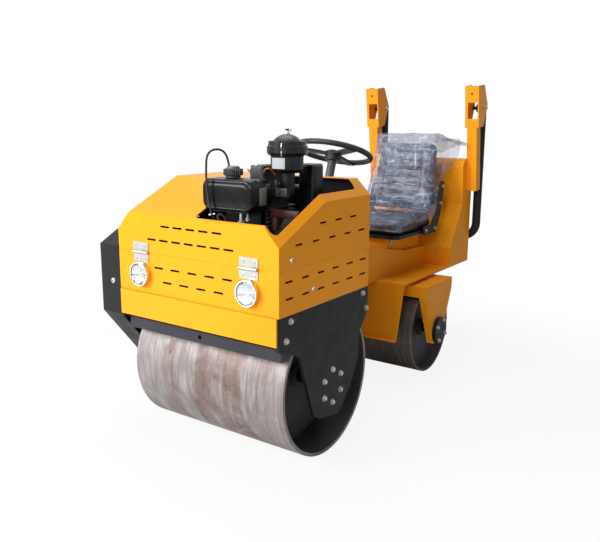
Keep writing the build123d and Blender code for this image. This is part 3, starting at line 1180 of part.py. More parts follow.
# exhaust pipe from the head's rear face round to the silencer's side
HEAD_REAR_Y = CYLINDER_Y + HEAD_DEEP / 2
EXHAUST_Z = HEAD_Z + HEAD_TALL / 2
with BuildPart() as exhaust_pipe:
    with BuildLine():
        FilletPolyline(at(CYLINDER_X, HEAD_REAR_Y, EXHAUST_Z),
                       at(CYLINDER_X, MUFFLER_MID_Y, EXHAUST_Z),
                       at(MUFFLER_X, MUFFLER_MID_Y, EXHAUST_Z), radius=EXHAUST_BEND_R)
    with BuildSketch(Plane(origin=at(CYLINDER_X, HEAD_REAR_Y, EXHAUST_Z), z_dir=(0, 1, 0))):
        Circle(EXHAUST_R)
        Circle(EXHAUST_R - EXHAUST_WALL, mode=Mode.SUBTRACT)
    sweep()
    with BuildSketch(Plane(origin=at(CYLINDER_X, HEAD_REAR_Y, EXHAUST_Z), z_dir=(0, 1, 0))):
        Circle(EXHAUST_FLANGE_R)
        Circle(EXHAUST_R - EXHAUST_WALL, mode=Mode.SUBTRACT)
    extrude(amount=EXHAUST_FLANGE)
save(exhaust_pipe.part, "exhaust_pipe")

# hose from the tank's fitting, over the tank and down its front to the pump
CABLE_ROUTE = (
    (67, 117, 978), (67, 117, 1058), (54, 24, 1065), (50, 21, 985), (55, 22, 912),
    (68, 27, 850), (78, 52, 790), (78, 108, 790))
stations = [Vector(at(*point)) for point in CABLE_ROUTE]
cable_radii = []
for before, corner, after in zip(stations, stations[1:], stations[2:]):
    half_turn = radians((corner - before).get_angle(after - corner)) / 2
    shorter = min((corner - before).length, (after - corner).length)
    cable_radii.append(0.45 * shorter / tan(half_turn))
with BuildPart() as throttle_cable:
    with BuildLine() as cable_line:
        FilletPolyline(*stations, radius=cable_radii)
    with BuildSketch(Plane(origin=cable_line.line @ 0, z_dir=cable_line.line % 0)):
        Circle(CABLE_R)
    sweep()
save(throttle_cable.part, "throttle_cable")
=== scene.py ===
"""Looks of the ride-on mini road roller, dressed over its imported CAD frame.

Metres. Places inside the machine come from mm(x, y, z): millimetres from the machine's own
datum, x from the centre plane, y from the hood's front face, z from the ground.
"""
import math

import bmesh
import bpy
from mathutils import Matrix, Vector, noise as mathutils_noise


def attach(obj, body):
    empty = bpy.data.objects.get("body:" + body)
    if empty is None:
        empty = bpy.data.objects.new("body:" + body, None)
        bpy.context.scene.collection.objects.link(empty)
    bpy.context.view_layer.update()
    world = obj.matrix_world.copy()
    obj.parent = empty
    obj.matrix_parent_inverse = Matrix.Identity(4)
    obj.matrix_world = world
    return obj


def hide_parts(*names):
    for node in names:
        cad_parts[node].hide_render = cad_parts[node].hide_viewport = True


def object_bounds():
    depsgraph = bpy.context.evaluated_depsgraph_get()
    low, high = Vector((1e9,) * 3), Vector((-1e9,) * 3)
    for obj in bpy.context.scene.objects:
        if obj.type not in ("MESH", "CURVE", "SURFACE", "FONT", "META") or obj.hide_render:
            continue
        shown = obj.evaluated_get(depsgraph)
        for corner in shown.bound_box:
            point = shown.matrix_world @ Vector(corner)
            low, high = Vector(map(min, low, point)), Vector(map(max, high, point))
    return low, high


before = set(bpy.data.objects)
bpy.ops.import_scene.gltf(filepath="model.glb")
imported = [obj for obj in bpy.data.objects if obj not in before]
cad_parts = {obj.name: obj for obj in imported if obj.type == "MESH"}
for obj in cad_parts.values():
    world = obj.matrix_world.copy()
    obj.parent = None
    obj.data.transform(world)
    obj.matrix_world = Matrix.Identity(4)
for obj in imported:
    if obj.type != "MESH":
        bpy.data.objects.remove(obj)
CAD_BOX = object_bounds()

lump = mathutils_noise.noise     # smooth noise between -1 and 1
LOW, HIGH = [Vector(corner) for corner in CAD_BOX]
HOOD_HALF = 355.0        # mm, half the hood's width
LAMP_DEPTH = 20.0        # mm, the lamps stand this far ahead of the hood's face
DATUM = Vector((HIGH.x - HOOD_HALF / 1000, LOW.y + LAMP_DEPTH / 1000, 0))
FRONT_AXLE = (307.4, 265)    # mm, y and z of the drums' axles
REAR_AXLE = (1288, 203)


def mm(x, y, z):
    """Scene point from the machine's own millimetres."""
    return DATUM + Vector((x, y, z)) / 1000


def polar(radius, degrees):
    """Pair of offsets at a radius and an angle."""
    turn = math.radians(degrees)
    return radius * math.cos(turn), radius * math.sin(turn)


# ---------------------------------------------------------------- camera
CAMERA_AT = (1553.7, -1615.7, 1146.3)
YAW, PITCH, ROLL = 35.293, 11.411, 0.164     # degrees
FOCAL_WIDTHS = 1.148     # focal length over image width
SHIFT = (0.0100, -0.0155)    # of the picture's middle, in image widths
SENSOR = 36              # mm
FAR = 60                 # metres, the camera's reach and the floor's side

camera_data = bpy.data.cameras.new("camera")
camera = bpy.data.objects.new("camera", camera_data)
bpy.context.scene.collection.objects.link(camera)
camera.location = mm(*CAMERA_AT)
camera.rotation_euler = (Matrix.Rotation(math.radians(YAW), 3, "Z")
                         @ Matrix.Rotation(math.radians(90 - PITCH), 3, "X")
                         @ Matrix.Rotation(math.radians(ROLL), 3, "Z")).to_euler()
camera_data.sensor_width = SENSOR
camera_data.lens = SENSOR * FOCAL_WIDTHS
camera_data.shift_x, camera_data.shift_y = SHIFT
camera_data.clip_end = FAR
bpy.context.scene.camera = camera
bpy.context.scene.view_settings.view_transform = "Standard"


# ---------------------------------------------------------------- shader nodes
def srgb(red, green, blue):
    """Linear RGBA from 0-255 display values."""
    return tuple(((v / 255 + 0.055) / 1.055) ** 2.4 if v > 10 else v / 255 / 12.92
                 for v in (red, green, blue)) + (1.0,)


def feed(socket, value):
    """Fill an input from another node's output, or with a fixed value."""
    if isinstance(value, bpy.types.NodeSocket):
        socket.id_data.links.new(value, socket)
    else:
        socket.default_value = value


def put(node, **values):
    """Fill a node's inputs by name, with _ for a space."""
    for key, value in values.items():
        feed(node.inputs[key.replace("_", " ")], value)


def add_node(tree, kind, *values, **named):
    """New shader node, its inputs filled in their order or by name, its attributes by name."""
    node = tree.nodes.new(kind)
    for key, value in named.items():
        if hasattr(node, key):
            setattr(node, key, value)
        else:
            put(node, **{key: value})
    for socket, value in zip(node.inputs, values):
        feed(socket, value)
    return node


def new_material(name):
    """Node material, its node tree and its Principled shader."""
    material = bpy.data.materials.new(name)
    material.use_nodes = True
    tree = material.node_tree
    return material, tree, tree.nodes["Principled BSDF"]


def maths(tree, operation, *values):
    """Result of an operation on numbers or other nodes' outputs."""
    return add_node(tree, "ShaderNodeMath", *values, operation=operation).outputs[0]


def vectors(tree, operation, *values):
    """Outputs of a vector operation."""
    return add_node(tree, "ShaderNodeVectorMath", *values, operation=operation).outputs


def times(tree, one, other):
    """Product of two values."""
    return maths(tree, "MULTIPLY", one, other)


def larger(tree, one, other):
    """The larger of two values."""
    return maths(tree, "MAXIMUM", one, other)


def coordinates(tree, kind="Object"):
    """The object's own coordinates, or its normal."""
    return tree.nodes.new("ShaderNodeTexCoord").outputs[kind]


def noise(tree, size, detail=4.0, stretch=(1, 1, 1), distortion=0.0, shift=(0, 0, 0)):
    """Noise texture over the object's own coordinates; its size is repeats a metre."""
    mapping = add_node(tree, "ShaderNodeMapping", Vector=coordinates(tree), Scale=stretch,
                       Location=shift)
    return add_node(tree, "ShaderNodeTexNoise", Vector=mapping.outputs[0], Scale=size, Detail=detail,
                    Distortion=distortion).outputs["Fac"]


def spread(tree, value, low, high, to_low=0.0, to_high=1.0):
    """Value mapped from low..high to to_low..to_high and held inside them."""
    return add_node(tree, "ShaderNodeMapRange", Value=value, From_Min=low, From_Max=high,
                    To_Min=to_low, To_Max=to_high).outputs[0]


def mixed(tree, factor, one, other):
    """Colour between two, each a fixed colour or another node's output."""
    node = add_node(tree, "ShaderNodeMix", data_type="RGBA", Factor=factor)
    feed(node.inputs[6], one)
    feed(node.inputs[7], other)
    return node.outputs[2]


def bumped(tree, shader, height, strength, depth, edge=0.0):
    """Surface relief of a depth in metres, over edges rounded by a radius in metres."""
    bump = add_node(tree, "ShaderNodeBump", Strength=strength, Distance=depth, Height=height)
    if edge:
        put(bump, Normal=add_node(tree, "ShaderNodeBevel", samples=4, Radius=edge).outputs[0])
    put(shader, Normal=bump.outputs[0])


def facing_in(tree, centre):
    """1 on the faces of a shell that look towards its centre, 0 on its outside."""
    away = vectors(tree, "SUBTRACT", coordinates(tree), centre)[0]
    toward = vectors(tree, "DOT_PRODUCT", away, coordinates(tree, "Normal"))["Value"]
    return spread(tree, toward, -0.060, -0.040, 1.0, 0.0)


# ---------------------------------------------------------------- floor and light
FLOOR_GLOW = 0.88        # how much of the floor near the machine is lit from itself
GLOW_FROM, GLOW_TO = 1.1, 1.9    # metres out, between which that grows to all of it
floor_material, tree, shader = new_material("studio_floor")
put(shader, Base_Color=(0.8, 0.8, 0.8, 1), Roughness=0.9)
out_from_middle = vectors(tree, "LENGTH", coordinates(tree))["Value"]
glow = spread(tree, out_from_middle, GLOW_FROM, GLOW_TO, FLOOR_GLOW, 1.0)
camera_ray = tree.nodes.new("ShaderNodeLightPath").outputs["Is Camera Ray"]
white = add_node(tree, "ShaderNodeEmission", Strength=1.0)
blend = add_node(tree, "ShaderNodeMixShader", times(tree, camera_ray, glow), shader.outputs[0],
                 white.outputs[0])
put(tree.nodes["Material Output"], Surface=blend.outputs[0])
bpy.ops.mesh.primitive_plane_add(size=FAR, location=(0, 0, 0))
floor = bpy.context.object
floor.name = "studio_floor"
floor.data.materials.append(floor_material)

SKY_LIGHT = 0.19         # the white sky's strength as a light; it is seen at 1
world = bpy.data.worlds.new("studio")
bpy.context.scene.world = world
world.use_nodes = True
sky = world.node_tree
ray = sky.nodes.new("ShaderNodeLightPath").outputs
seen = larger(sky, larger(sky, ray["Is Camera Ray"], ray["Is Glossy Ray"]), ray["Is Transmission Ray"])
put(sky.nodes["Background"], Color=(1, 1, 1, 1), Strength=spread(sky, seen, 0.0, 1.0, SKY_LIGHT, 1.0))


def softbox(name, at, toward, size, power):
    """Rectangular studio light; its size in metres, its power in watts."""
    light = bpy.data.lights.new(name, "AREA")
    light.shape = "RECTANGLE"
    light.size, light.size_y = size
    light.energy = power
    lamp = bpy.data.objects.new(name, light)
    bpy.context.scene.collection.objects.link(lamp)
    lamp.location = at
    lamp.rotation_euler = (Vector(toward) - Vector(at)).to_track_quat("-Z", "Y").to_euler()


CENTRE = (0, 0, 0.6)
softbox("key", (-2.4, -4.6, 2.6), (0, -0.6, 0.6), (2.2, 2.2), 272)
softbox("top", (-0.6, 0.2, 4.4), CENTRE, (3.2, 3.2), 95)
softbox("side", (4.6, 0.2, 1.8), CENTRE, (1.8, 2.4), 2)
softbox("fill", (0.9, -5.0, 2.3), (0.1, 0.6, 0.7), (1.6, 1.6), 105)

# ---------------------------------------------------------------- surfaces
COAT_ROUGHNESS = 0.12
# painted shade: the faces that look into the hood and the band are coloured near-black for the shade inside
# them
SHELL_PAINTED_SHADE = srgb(24, 21, 19)    # inside the hood and the band
DRUM_INSIDE = srgb(70, 70, 75)


def surface(name, colour, rough, metallic=0.0, vary=0.10, patch=7.0, rough_vary=0.10, grain=0.25,
            grain_size=260.0, grain_depth=0.0004, soil=None, soil_from=0.58, coat=0.0, edge=0.0,
            shine=0.4, painted_shade_within=None):
    """Material with broad tone and roughness patches, fine grain, and soiling where it is given; where a
    shell's centre is given, painted shade darkens the faces that look into the shell.
    """
    material, tree, shader = new_material(name)
    darker, lighter = [tuple(min(1.0, c * (1 + change)) for c in colour[:3]) + (1.0,)
                       for change in (-vary, vary)]
    tone = mixed(tree, spread(tree, noise(tree, patch, 6), 0.3, 0.7), darker, lighter)
    if soil:
        smears = spread(tree, noise(tree, patch * 2.3, 9, distortion=0.6), soil_from, soil_from + 0.16)
        specks = spread(tree, noise(tree, patch * 24, 5), 0.35, 0.6)
        tone = mixed(tree, times(tree, smears, specks), tone, soil)
    # painted shade: faces that look towards the shell's centre turn near-black, standing in for the shade
    # inside the hood and the band
    if painted_shade_within is not None:
        tone = mixed(tree, facing_in(tree, painted_shade_within), tone, SHELL_PAINTED_SHADE)
    uneven = spread(tree, noise(tree, patch * 3.1, 5, shift=(3, 1, 2)), 0.3, 0.7,
                    max(0.02, rough - rough_vary), min(1.0, rough + rough_vary))
    put(shader, Base_Color=tone, Roughness=uneven, Metallic=metallic, Specular_IOR_Level=shine,
        Coat_Weight=coat, Coat_Roughness=COAT_ROUGHNESS)
    bumped(tree, shader, noise(tree, grain_size, 3), grain, grain_depth, edge)
    return material


RUST = srgb(112, 62, 34)
YELLOW = dict(colour=(0.88, 0.325, 0.012, 1), rough=0.36, vary=0.05, patch=3.5, rough_vary=0.05,
              grain=0.10, grain_size=900, grain_depth=0.00008, soil=srgb(206, 132, 40), soil_from=0.64,
              coat=0.02, edge=0.0022, shine=0.10)
PAINT = surface("paint_yellow", **YELLOW)
# the hood and the band's paint, with painted shade on their inner faces
HOOD_PAINT_SHADED_INSIDE = surface("paint_yellow_shell_painted_shade_inside", **YELLOW, painted_shade_within=mm(0, 300, 640))
BLACK = surface("paint_black", srgb(24, 24, 27), 0.46, vary=0.18, patch=8, soil=srgb(50, 47, 44),
                soil_from=0.62, grain=0.15, edge=0.0015, shine=0.2)
BAR_GREY = surface("paint_bar_grey", srgb(46, 46, 53), 0.42, vary=0.14, patch=8, soil=srgb(60, 57, 54),
                   soil_from=0.62, grain=0.15, edge=0.0015, shine=0.25)
STEEL = surface("plain_steel", srgb(186, 186, 182), 0.36, 1.0, vary=0.12, soil=RUST, soil_from=0.70)
ZINC = surface("zinc_sheet", srgb(178, 178, 172), 0.42, 0.55, vary=0.10, patch=30, grain=0.2,
               soil=srgb(120, 112, 98), soil_from=0.66, edge=0.0008)
ENGINE_BLACK = surface("engine_black", srgb(14, 16, 20), 0.30, vary=0.15, soil=srgb(46, 44, 42),
                       soil_from=0.66, grain=0.2, coat=0.15, edge=0.0012, shine=0.3)
ENGINE_METAL = surface("engine_metal", srgb(74, 75, 77), 0.5, 0.6, vary=0.22, grain=0.6, grain_size=420,
                       soil=srgb(40, 36, 33), soil_from=0.52)
COLUMN_GREY = surface("column_grey", srgb(70, 70, 75), 0.4, 0.2, vary=0.08, edge=0.001, shine=0.3)
WHEEL_BLACK = surface("wheel_black", srgb(28, 28, 30), 0.48, vary=0.12, grain=0.35, grain_size=700)
CHROME = surface("rod_chrome", srgb(212, 214, 216), 0.14, 1.0, vary=0.05, rough_vary=0.05, grain=0.05)
RUBBER = surface("cable_rubber", srgb(26, 26, 27), 0.5, vary=0.15, grain=0.3, grain_size=900)
VINYL = surface("seat_vinyl", srgb(30, 30, 33), 0.34, vary=0.12, patch=11, rough_vary=0.07, grain=0.45,
                grain_size=1500, grain_depth=0.0002, soil=srgb(60, 56, 52), soil_from=0.66)
TANK_BLACK = surface("tank_black", srgb(8, 8, 10), 0.26, vary=0.1, patch=6, rough_vary=0.06, grain=0.08,
                     coat=0.08, shine=0.22)
CAP_BLACK = surface("cap_black", srgb(34, 35, 37), 0.45, vary=0.1, grain=0.3, grain_size=900)
CAP_GREY = surface("cap_grey", srgb(92, 94, 97), 0.42, vary=0.1, grain=0.2, grain_size=900)
LABEL_WHITE = surface("label_white", srgb(168, 171, 175), 0.5, vary=0.05, patch=40, grain=0.1,
                      soil=srgb(170, 166, 158), soil_from=0.6)
LABEL_GREY = surface("label_grey", srgb(104, 108, 96), 0.45, vary=0.10, patch=60, grain=0.1,
                     soil=srgb(60, 60, 56), soil_from=0.6)
DARK_RED = surface("duct_red", srgb(66, 28, 25), 0.5, vary=0.15, patch=20, soil=srgb(50, 34, 28),
                   soil_from=0.55)
COPPER = surface("copper_pipe", srgb(184, 108, 66), 0.35, 1.0, vary=0.15, patch=60,
                 soil=srgb(92, 56, 38), soil_from=0.55)


def drum_faces(tree, centre, radius, half, wall):
    """Mask of a drum's rolling face and end rims, and the distance from its middle; metres."""
    out = vectors(tree, "SUBTRACT", coordinates(tree), centre)[0]
    parts = add_node(tree, "ShaderNodeSeparateXYZ", out)
    upright = add_node(tree, "ShaderNodeCombineXYZ", Y=parts.outputs["Y"], Z=parts.outputs["Z"])
    away = vectors(tree, "LENGTH", upright.outputs[0])["Value"]
    aside = maths(tree, "ABSOLUTE", parts.outputs["X"])
    rolling = spread(tree, away, radius - 0.0012, radius - 0.0010)
    rim = times(tree, spread(tree, aside, half - 0.0008, half - 0.0006),
                spread(tree, away, radius - wall - 0.0012, radius - wall - 0.0008))
    return larger(tree, rolling, rim), aside


def drum_material(name, axle, radius, half, wall, clean, dull, rusty, deep, stain):
    """Rolled steel with rust in rings round the drum and cleaner ends; dark inside."""
    material, tree, shader = new_material(name)
    outside, aside = drum_faces(tree, mm(0, *axle), radius, half, wall)
    rings = noise(tree, 1.0, 7, stretch=(15, 2.2, 2.2), distortion=0.5)
    fine_rings = noise(tree, 1.0, 6, stretch=(90, 7, 7), shift=(5, 2, 1), distortion=0.4)
    patches = noise(tree, 11.0, 10, distortion=1.1)
    specks = noise(tree, 75.0, 6, shift=(2, 7, 3))
    middle = times(tree, spread(tree, aside, half - 0.075, half - 0.045, 1.0, 0.12), stain)
    metal = mixed(tree, spread(tree, fine_rings, 0.35, 0.65), clean, dull)
    metal = mixed(tree, times(tree, spread(tree, patches, 0.42, 0.62), 0.6), metal, dull)
    rust = times(tree, spread(tree, rings, 0.40, 0.58), spread(tree, patches, 0.30, 0.62, 0.2, 1.0))
    stained = mixed(tree, times(tree, rust, middle), metal, rusty)
    spots = times(tree, spread(tree, specks, 0.58, 0.70), spread(tree, rings, 0.44, 0.60))
    face = mixed(tree, times(tree, spots, middle), stained, deep)
    put(shader, Base_Color=mixed(tree, outside, DRUM_INSIDE, face), Metallic=times(tree, outside, 0.35),
        Roughness=spread(tree, noise(tree, 14, 6), 0.3, 0.7, 0.42, 0.62), Specular_IOR_Level=0.3)
    bumped(tree, shader, patches, 0.30, 0.0006, 0.0012)
    return material


DRUM_STEEL = drum_material("drum_rolled_steel", FRONT_AXLE, 0.265, 0.337, 0.012, srgb(158, 154, 153),
                           srgb(124, 117, 115), srgb(112, 90, 84), srgb(84, 66, 58), 0.92)
DRUM_DARK = drum_material("drum_worn_dark", REAR_AXLE, 0.203, 0.278, 0.010, srgb(112, 108, 106),
                          srgb(84, 80, 78), srgb(86, 70, 62), srgb(60, 50, 44), 0.5)


def lens_material():
    """Clear moulded lens, faintly smoked by road film."""
    material, tree, shader = new_material("lamp_lens")
    put(shader, Base_Color=srgb(238, 242, 244), Transmission_Weight=1.0, IOR=1.45,
        Roughness=spread(tree, noise(tree, 40, 5), 0.3, 0.7, 0.02, 0.10))
    bumped(tree, shader, noise(tree, 300, 2), 0.05, 0.0002)
    return material


LENS = lens_material()
NODE_MATERIALS = [
    (HOOD_PAINT_SHADED_INSIDE, ("hood", "body_band")),
    (PAINT, ("front_panel", "spine", "platform", "seat_box", "seat_riser",
             "rops_post_left", "rops_post_right", "fork")),
    (BLACK, ("side_plate_left", "side_plate_right", "chassis_deck", "guard_box",
             "drum_stub_axles", "rear_stub_axles", "rear_scraper", "kingpin", "cylinder_anchor",
             "cylinder_barrel", "seat_brackets", "seat_pan", "rops_bow")),
    (BAR_GREY, ("cross_bar",)),
    (ZINC, ("hinge_lower_leaves", "hinge_upper_leaves")),
    (DRUM_STEEL, ("front_drum",)),
    (DRUM_DARK, ("rear_drum",)),
    (CHROME, ("lamp_housings", "cylinder_rod")),
    (LENS, ("lamp_lenses",)),
    (VINYL, ("seat_cushion", "seat_backrest")),
    (TANK_BLACK, ("fuel_tank",)),
    (CAP_BLACK, ("tank_cap",)),
    (ENGINE_BLACK, ("air_filter", "muffler", "recoil_housing", "tank_bracket")),
    (ENGINE_METAL, ("engine_block", "engine_head", "exhaust_pipe")),
    (COLUMN_GREY, ("steering_column",)),
    (WHEEL_BLACK, ("steering_wheel",)),
    (RUBBER, ("throttle_cable",)),
]
for material, names in NODE_MATERIALS:
    for name in names:
        for material_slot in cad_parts[name].material_slots:
            material_slot.material = material


# ---------------------------------------------------------------- pieces
def piece_from(bm, name, material, body, smooth=30):
    """Object from a bmesh in scene metres, riding on a CAD body."""
    mesh = bpy.data.meshes.new(name)
    bmesh.ops.recalc_face_normals(bm, faces=bm.faces)
    bm.to_mesh(mesh)
    bm.free()
    mesh.materials.append(material)
    for polygon in mesh.polygons:
        polygon.use_smooth = True
    mesh.set_sharp_from_angle(angle=math.radians(smooth))
    made = bpy.data.objects.new(name, mesh)
    bpy.context.scene.collection.objects.link(made)
    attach(made, body)
    return made


def skin(bm, rings):
    """Faces between rings of equal count, closed at both ends."""
    for lower, upper in zip(rings, rings[1:]):
        count = len(lower)
        for step in range(count):
            after = (step + 1) % count
            bm.faces.new((lower[step], lower[after], upper[after], upper[step]))
    bm.faces.new(rings[0][::-1])
    bm.faces.new(rings[-1])


def turned(bm, profile, at, axis, sides=24):
    """Solid of revolution of (radius, height) pairs in mm, from a point along an axis."""
    frame_of = Vector(axis).to_track_quat("Z", "Y").to_matrix()
    origin = mm(*at)
    rings = []
    for radius, height in profile:
        if radius == 0:
            rings.append([bm.verts.new(origin + frame_of @ Vector((0, 0, height / 1000)))])
            continue
        ring = []
        for side in range(sides):
            turn = 2 * math.pi * side / sides
            spot = Vector((radius * math.cos(turn), radius * math.sin(turn), height)) / 1000
            ring.append(bm.verts.new(origin + frame_of @ spot))
        rings.append(ring)
    for lower, upper in zip(rings, rings[1:]):
        for side in range(sides):
            after = (side + 1) % sides
            if len(lower) == 1:
                bm.faces.new((lower[0], upper[after], upper[side]))
            elif len(upper) == 1:
                bm.faces.new((lower[side], lower[after], upper[0]))
            else:
                bm.faces.new((lower[side], lower[after], upper[after], upper[side]))


def hex_bolt(bm, at, axis, across=10.0, tall=6.0, washer=9.0, thick=1.4):
    """Hexagon head on a plain washer, seated on a face."""
    turned(bm, [(0, 0), (washer, 0), (washer, thick), (0, thick)], at, axis, 20)
    half = across / 2 / math.cos(math.pi / 6)
    turned(bm, [(0, thick), (half, thick), (half, tall * 0.86), (half * 0.86, tall), (0, tall)],
           at, axis, 6)


def dome_bolt(bm, at, axis, radius=8.0, tall=4.5):
    """Low round head with a socket."""
    socket = radius * 0.42
    turned(bm, [(0, 0), (radius, 0), (radius, tall * 0.35), (radius * 0.86, tall * 0.8),
                (radius * 0.55, tall), (socket, tall), (socket, tall * 0.5), (0, tall * 0.5)],
           at, axis, 24)


def slab(bm, low, high, bevel=2.0):
    """Folded-sheet block between two corners in mm, its edges rounded."""
    made = bmesh.ops.create_cube(bm, size=1.0)["verts"]
    low_at, high_at = mm(*low), mm(*high)
    for vert in made:
        vert.co = Vector([(l + h) / 2 + c * (h - l) for l, h, c in zip(low_at, high_at, vert.co)])
    edges = list(dict.fromkeys(edge for vert in made for edge in vert.link_edges))
    bmesh.ops.bevel(bm, geom=edges, offset=bevel / 1000, segments=2, profile=0.5, affect="EDGES")


def tube(bm, points, radius, sides=10):
    """Pipe through points in mm."""
    path = [mm(*point) for point in points]
    turns = [2 * math.pi * side / sides for side in range(sides)]
    circle = [Vector((radius * math.cos(turn), radius * math.sin(turn), 0)) for turn in turns]
    rings = []
    for number, spot in enumerate(path):
        onward = path[min(number + 1, len(path) - 1)] - path[max(number - 1, 0)]
        frame_of = onward.to_track_quat("Z", "Y").to_matrix()
        rings.append([bm.verts.new(spot + frame_of @ point / 1000) for point in circle])
    skin(bm, rings)


# ---------------------------------------------------------------- bolts
TO_LEFT, TO_RIGHT, AHEAD, UP = (1, 0, 0), (-1, 0, 0), (0, -1, 0), (0, 0, 1)  # the machine's left is +X
PLATE_FACE = 355         # mm from the centre plane
PLATE_BOLT, PIN_HEAD, HUB_BOLT, SEAT_BOLT = (15, 9, 11), (17, 9, 13), (13, 9, 10), (12, 7, 9)
WEB_BOLT = (17, 9, 14)   # all five: across the flats, height, washer's radius
BAND_BOLT, GUARD_BOLT, HINGE_SCREW = (9, 5), (11, 6), (5.5, 2.2)     # radius, height
POST_X, BOW_PIN = 275.0, [(1778.6, 1220.2)]
PIN_OUT = 35             # mm from a post's middle to either head of the bow's pin
# mm from the centre plane: the front drum's web, the rear hubs and the seat brackets
WEB_FACE, HUB_FACE, SEAT_FACE = 200, 336, 186.3
AXLE_PLATE = (310, 250)  # y, z of the middle of its bolts
AXLE_BOLTS = [(AXLE_PLATE[0] + y, AXLE_PLATE[1] + z)
              for y, z in [polar(60, turn) for turn in (90, 30, -30, -90, -150, 150)]]
HUB_BOLTS = [(REAR_AXLE[0] + y, REAR_AXLE[1] + z)
             for y, z in [polar(49, turn) for turn in (62, 152, 242, 332)]]
WEB_BOLTS = [(FRONT_AXLE[0] + y, FRONT_AXLE[1] + z)
             for y, z in [polar(radius, turn) for radius in (94, 161) for turn in range(15, 375, 60)]]
CORNER_BOLTS = [(506, 542), (534, 481)]      # y, z
SEAT_BOLTS = [(1580, 842), (1561, 761), (1506, 643), (1408, 641)]
HINGE_SCREWS = [x + dx for x in (-240, 240) for dx in (-23, 23)]


def at_side(x, places):
    """Places (x, y, z) at one distance from the centre plane."""
    return [(x, y, z) for y, z in places]


# body, piece, kind, the way the heads face, sizes and places
BOLTS = [
    ("machine", "plate_bolts_left", hex_bolt, TO_LEFT, PLATE_BOLT,
     at_side(PLATE_FACE, [(59, 541), (35, 482)] + CORNER_BOLTS + AXLE_BOLTS)),
    ("machine", "plate_bolts_right", hex_bolt, TO_RIGHT, PLATE_BOLT, at_side(-PLATE_FACE, CORNER_BOLTS)),
    ("machine", "band_bolt", dome_bolt, TO_LEFT, BAND_BOLT, [(PLATE_FACE, 186, 620)]),
    ("hood_cover", "hood_bolt", dome_bolt, TO_LEFT, BAND_BOLT, [(PLATE_FACE, 65, 733)]),
    ("machine", "guard_bolt", dome_bolt, AHEAD, GUARD_BOLT, [(-393, 0, 582)]),
    ("machine", "hinge_screws_lower", dome_bolt, AHEAD, HINGE_SCREW,
     [(x, -3, 683) for x in HINGE_SCREWS]),
    ("hood_cover", "hinge_screws_upper", dome_bolt, AHEAD, HINGE_SCREW,
     [(x, -3, 728) for x in HINGE_SCREWS]),
    ("folding_bow", "bow_pin_heads_out", hex_bolt, TO_LEFT, PIN_HEAD,
     at_side(POST_X + PIN_OUT, BOW_PIN)),
    ("folding_bow", "bow_pin_heads_left_in", hex_bolt, TO_RIGHT, PIN_HEAD,
     at_side(POST_X - PIN_OUT, BOW_PIN)),
    ("folding_bow", "bow_pin_heads_right_out", hex_bolt, TO_RIGHT, PIN_HEAD,
     at_side(-POST_X - PIN_OUT, BOW_PIN)),
    ("folding_bow", "bow_pin_heads_right_in", hex_bolt, TO_LEFT, PIN_HEAD,
     at_side(-POST_X + PIN_OUT, BOW_PIN)),
    ("steering_fork", "rear_hub_bolts_left", hex_bolt, TO_LEFT, HUB_BOLT,
     at_side(HUB_FACE, HUB_BOLTS)),
    ("steering_fork", "rear_hub_bolts_right", hex_bolt, TO_RIGHT, HUB_BOLT,
     at_side(-HUB_FACE, HUB_BOLTS)),
    ("machine", "seat_bolts_left", hex_bolt, TO_LEFT, SEAT_BOLT, at_side(SEAT_FACE, SEAT_BOLTS)),
    ("machine", "seat_bolts_right", hex_bolt, TO_RIGHT, SEAT_BOLT, at_side(-SEAT_FACE, SEAT_BOLTS)),
    ("machine", "riser_bolts", hex_bolt, TO_LEFT, SEAT_BOLT, [(95, 1215, 608)]),
]
for body, name, kind, axis, sizes, places in BOLTS:
    bm = bmesh.new()
    for place in places:
        kind(bm, place, axis, *sizes)
    piece_from(bm, name, STEEL, body)

bm = bmesh.new()
for y, z in WEB_BOLTS:
    hex_bolt(bm, (WEB_FACE, y, z), TO_LEFT, *WEB_BOLT)
    hex_bolt(bm, (-WEB_FACE, y, z), TO_RIGHT, *WEB_BOLT)
piece_from(bm, "web_bolts", BLACK, "front_roller")


# ---------------------------------------------------------------- lamps
LAMP_X, LAMP_Z = (-240, 240), 628
REFLECTOR_ROWS = [(36.5, -15.6), (25, -11.5), (13, -8.0), (4.5, -6.0)]   # radius, y
LENS_PROFILE = [(0, 15.8), (37.2, 15.8), (38.2, 17.2), (36.5, 18.6), (24, 19.6), (0, 20.0)]


def faceted_dish(bm, x, z, count=18):
    """Lamp reflector: three rings of flat facets dished towards the bulb."""
    rings = []
    for number, (radius, y) in enumerate(REFLECTOR_ROWS):
        ring = []
        for step in range(count):
            turn = 2 * math.pi * (step + 0.5 * (number % 2)) / count
            ring.append(bm.verts.new(mm(x + radius * math.cos(turn), y, z + radius * math.sin(turn))))
        rings.append(ring)
    for number, (outer, inner) in enumerate(zip(rings, rings[1:])):
        for step in range(count):
            after = (step + 1) % count
            if number % 2 == 0:
                bm.faces.new((outer[step], outer[after], inner[step]))
                bm.faces.new((outer[after], inner[after], inner[step]))
            else:
                bm.faces.new((outer[step], outer[after], inner[after]))
                bm.faces.new((outer[step], inner[after], inner[step]))
    bm.faces.new(rings[-1])


REFLECTOR = surface("lamp_reflector", srgb(236, 238, 240), 0.16, 0.85, vary=0.04, rough_vary=0.05,
                    grain=0.05)
bm = bmesh.new()
for x in LAMP_X:
    faceted_dish(bm, x, LAMP_Z)
piece_from(bm, "lamp_reflectors", REFLECTOR, "machine", 5)
bm = bmesh.new()
for x in LAMP_X:
    turned(bm, LENS_PROFILE, (x, 0, LAMP_Z), AHEAD, 48)
lens = piece_from(bm, "lamp_clear_lenses", LENS, "machine", 40)
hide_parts("lamp_lenses")


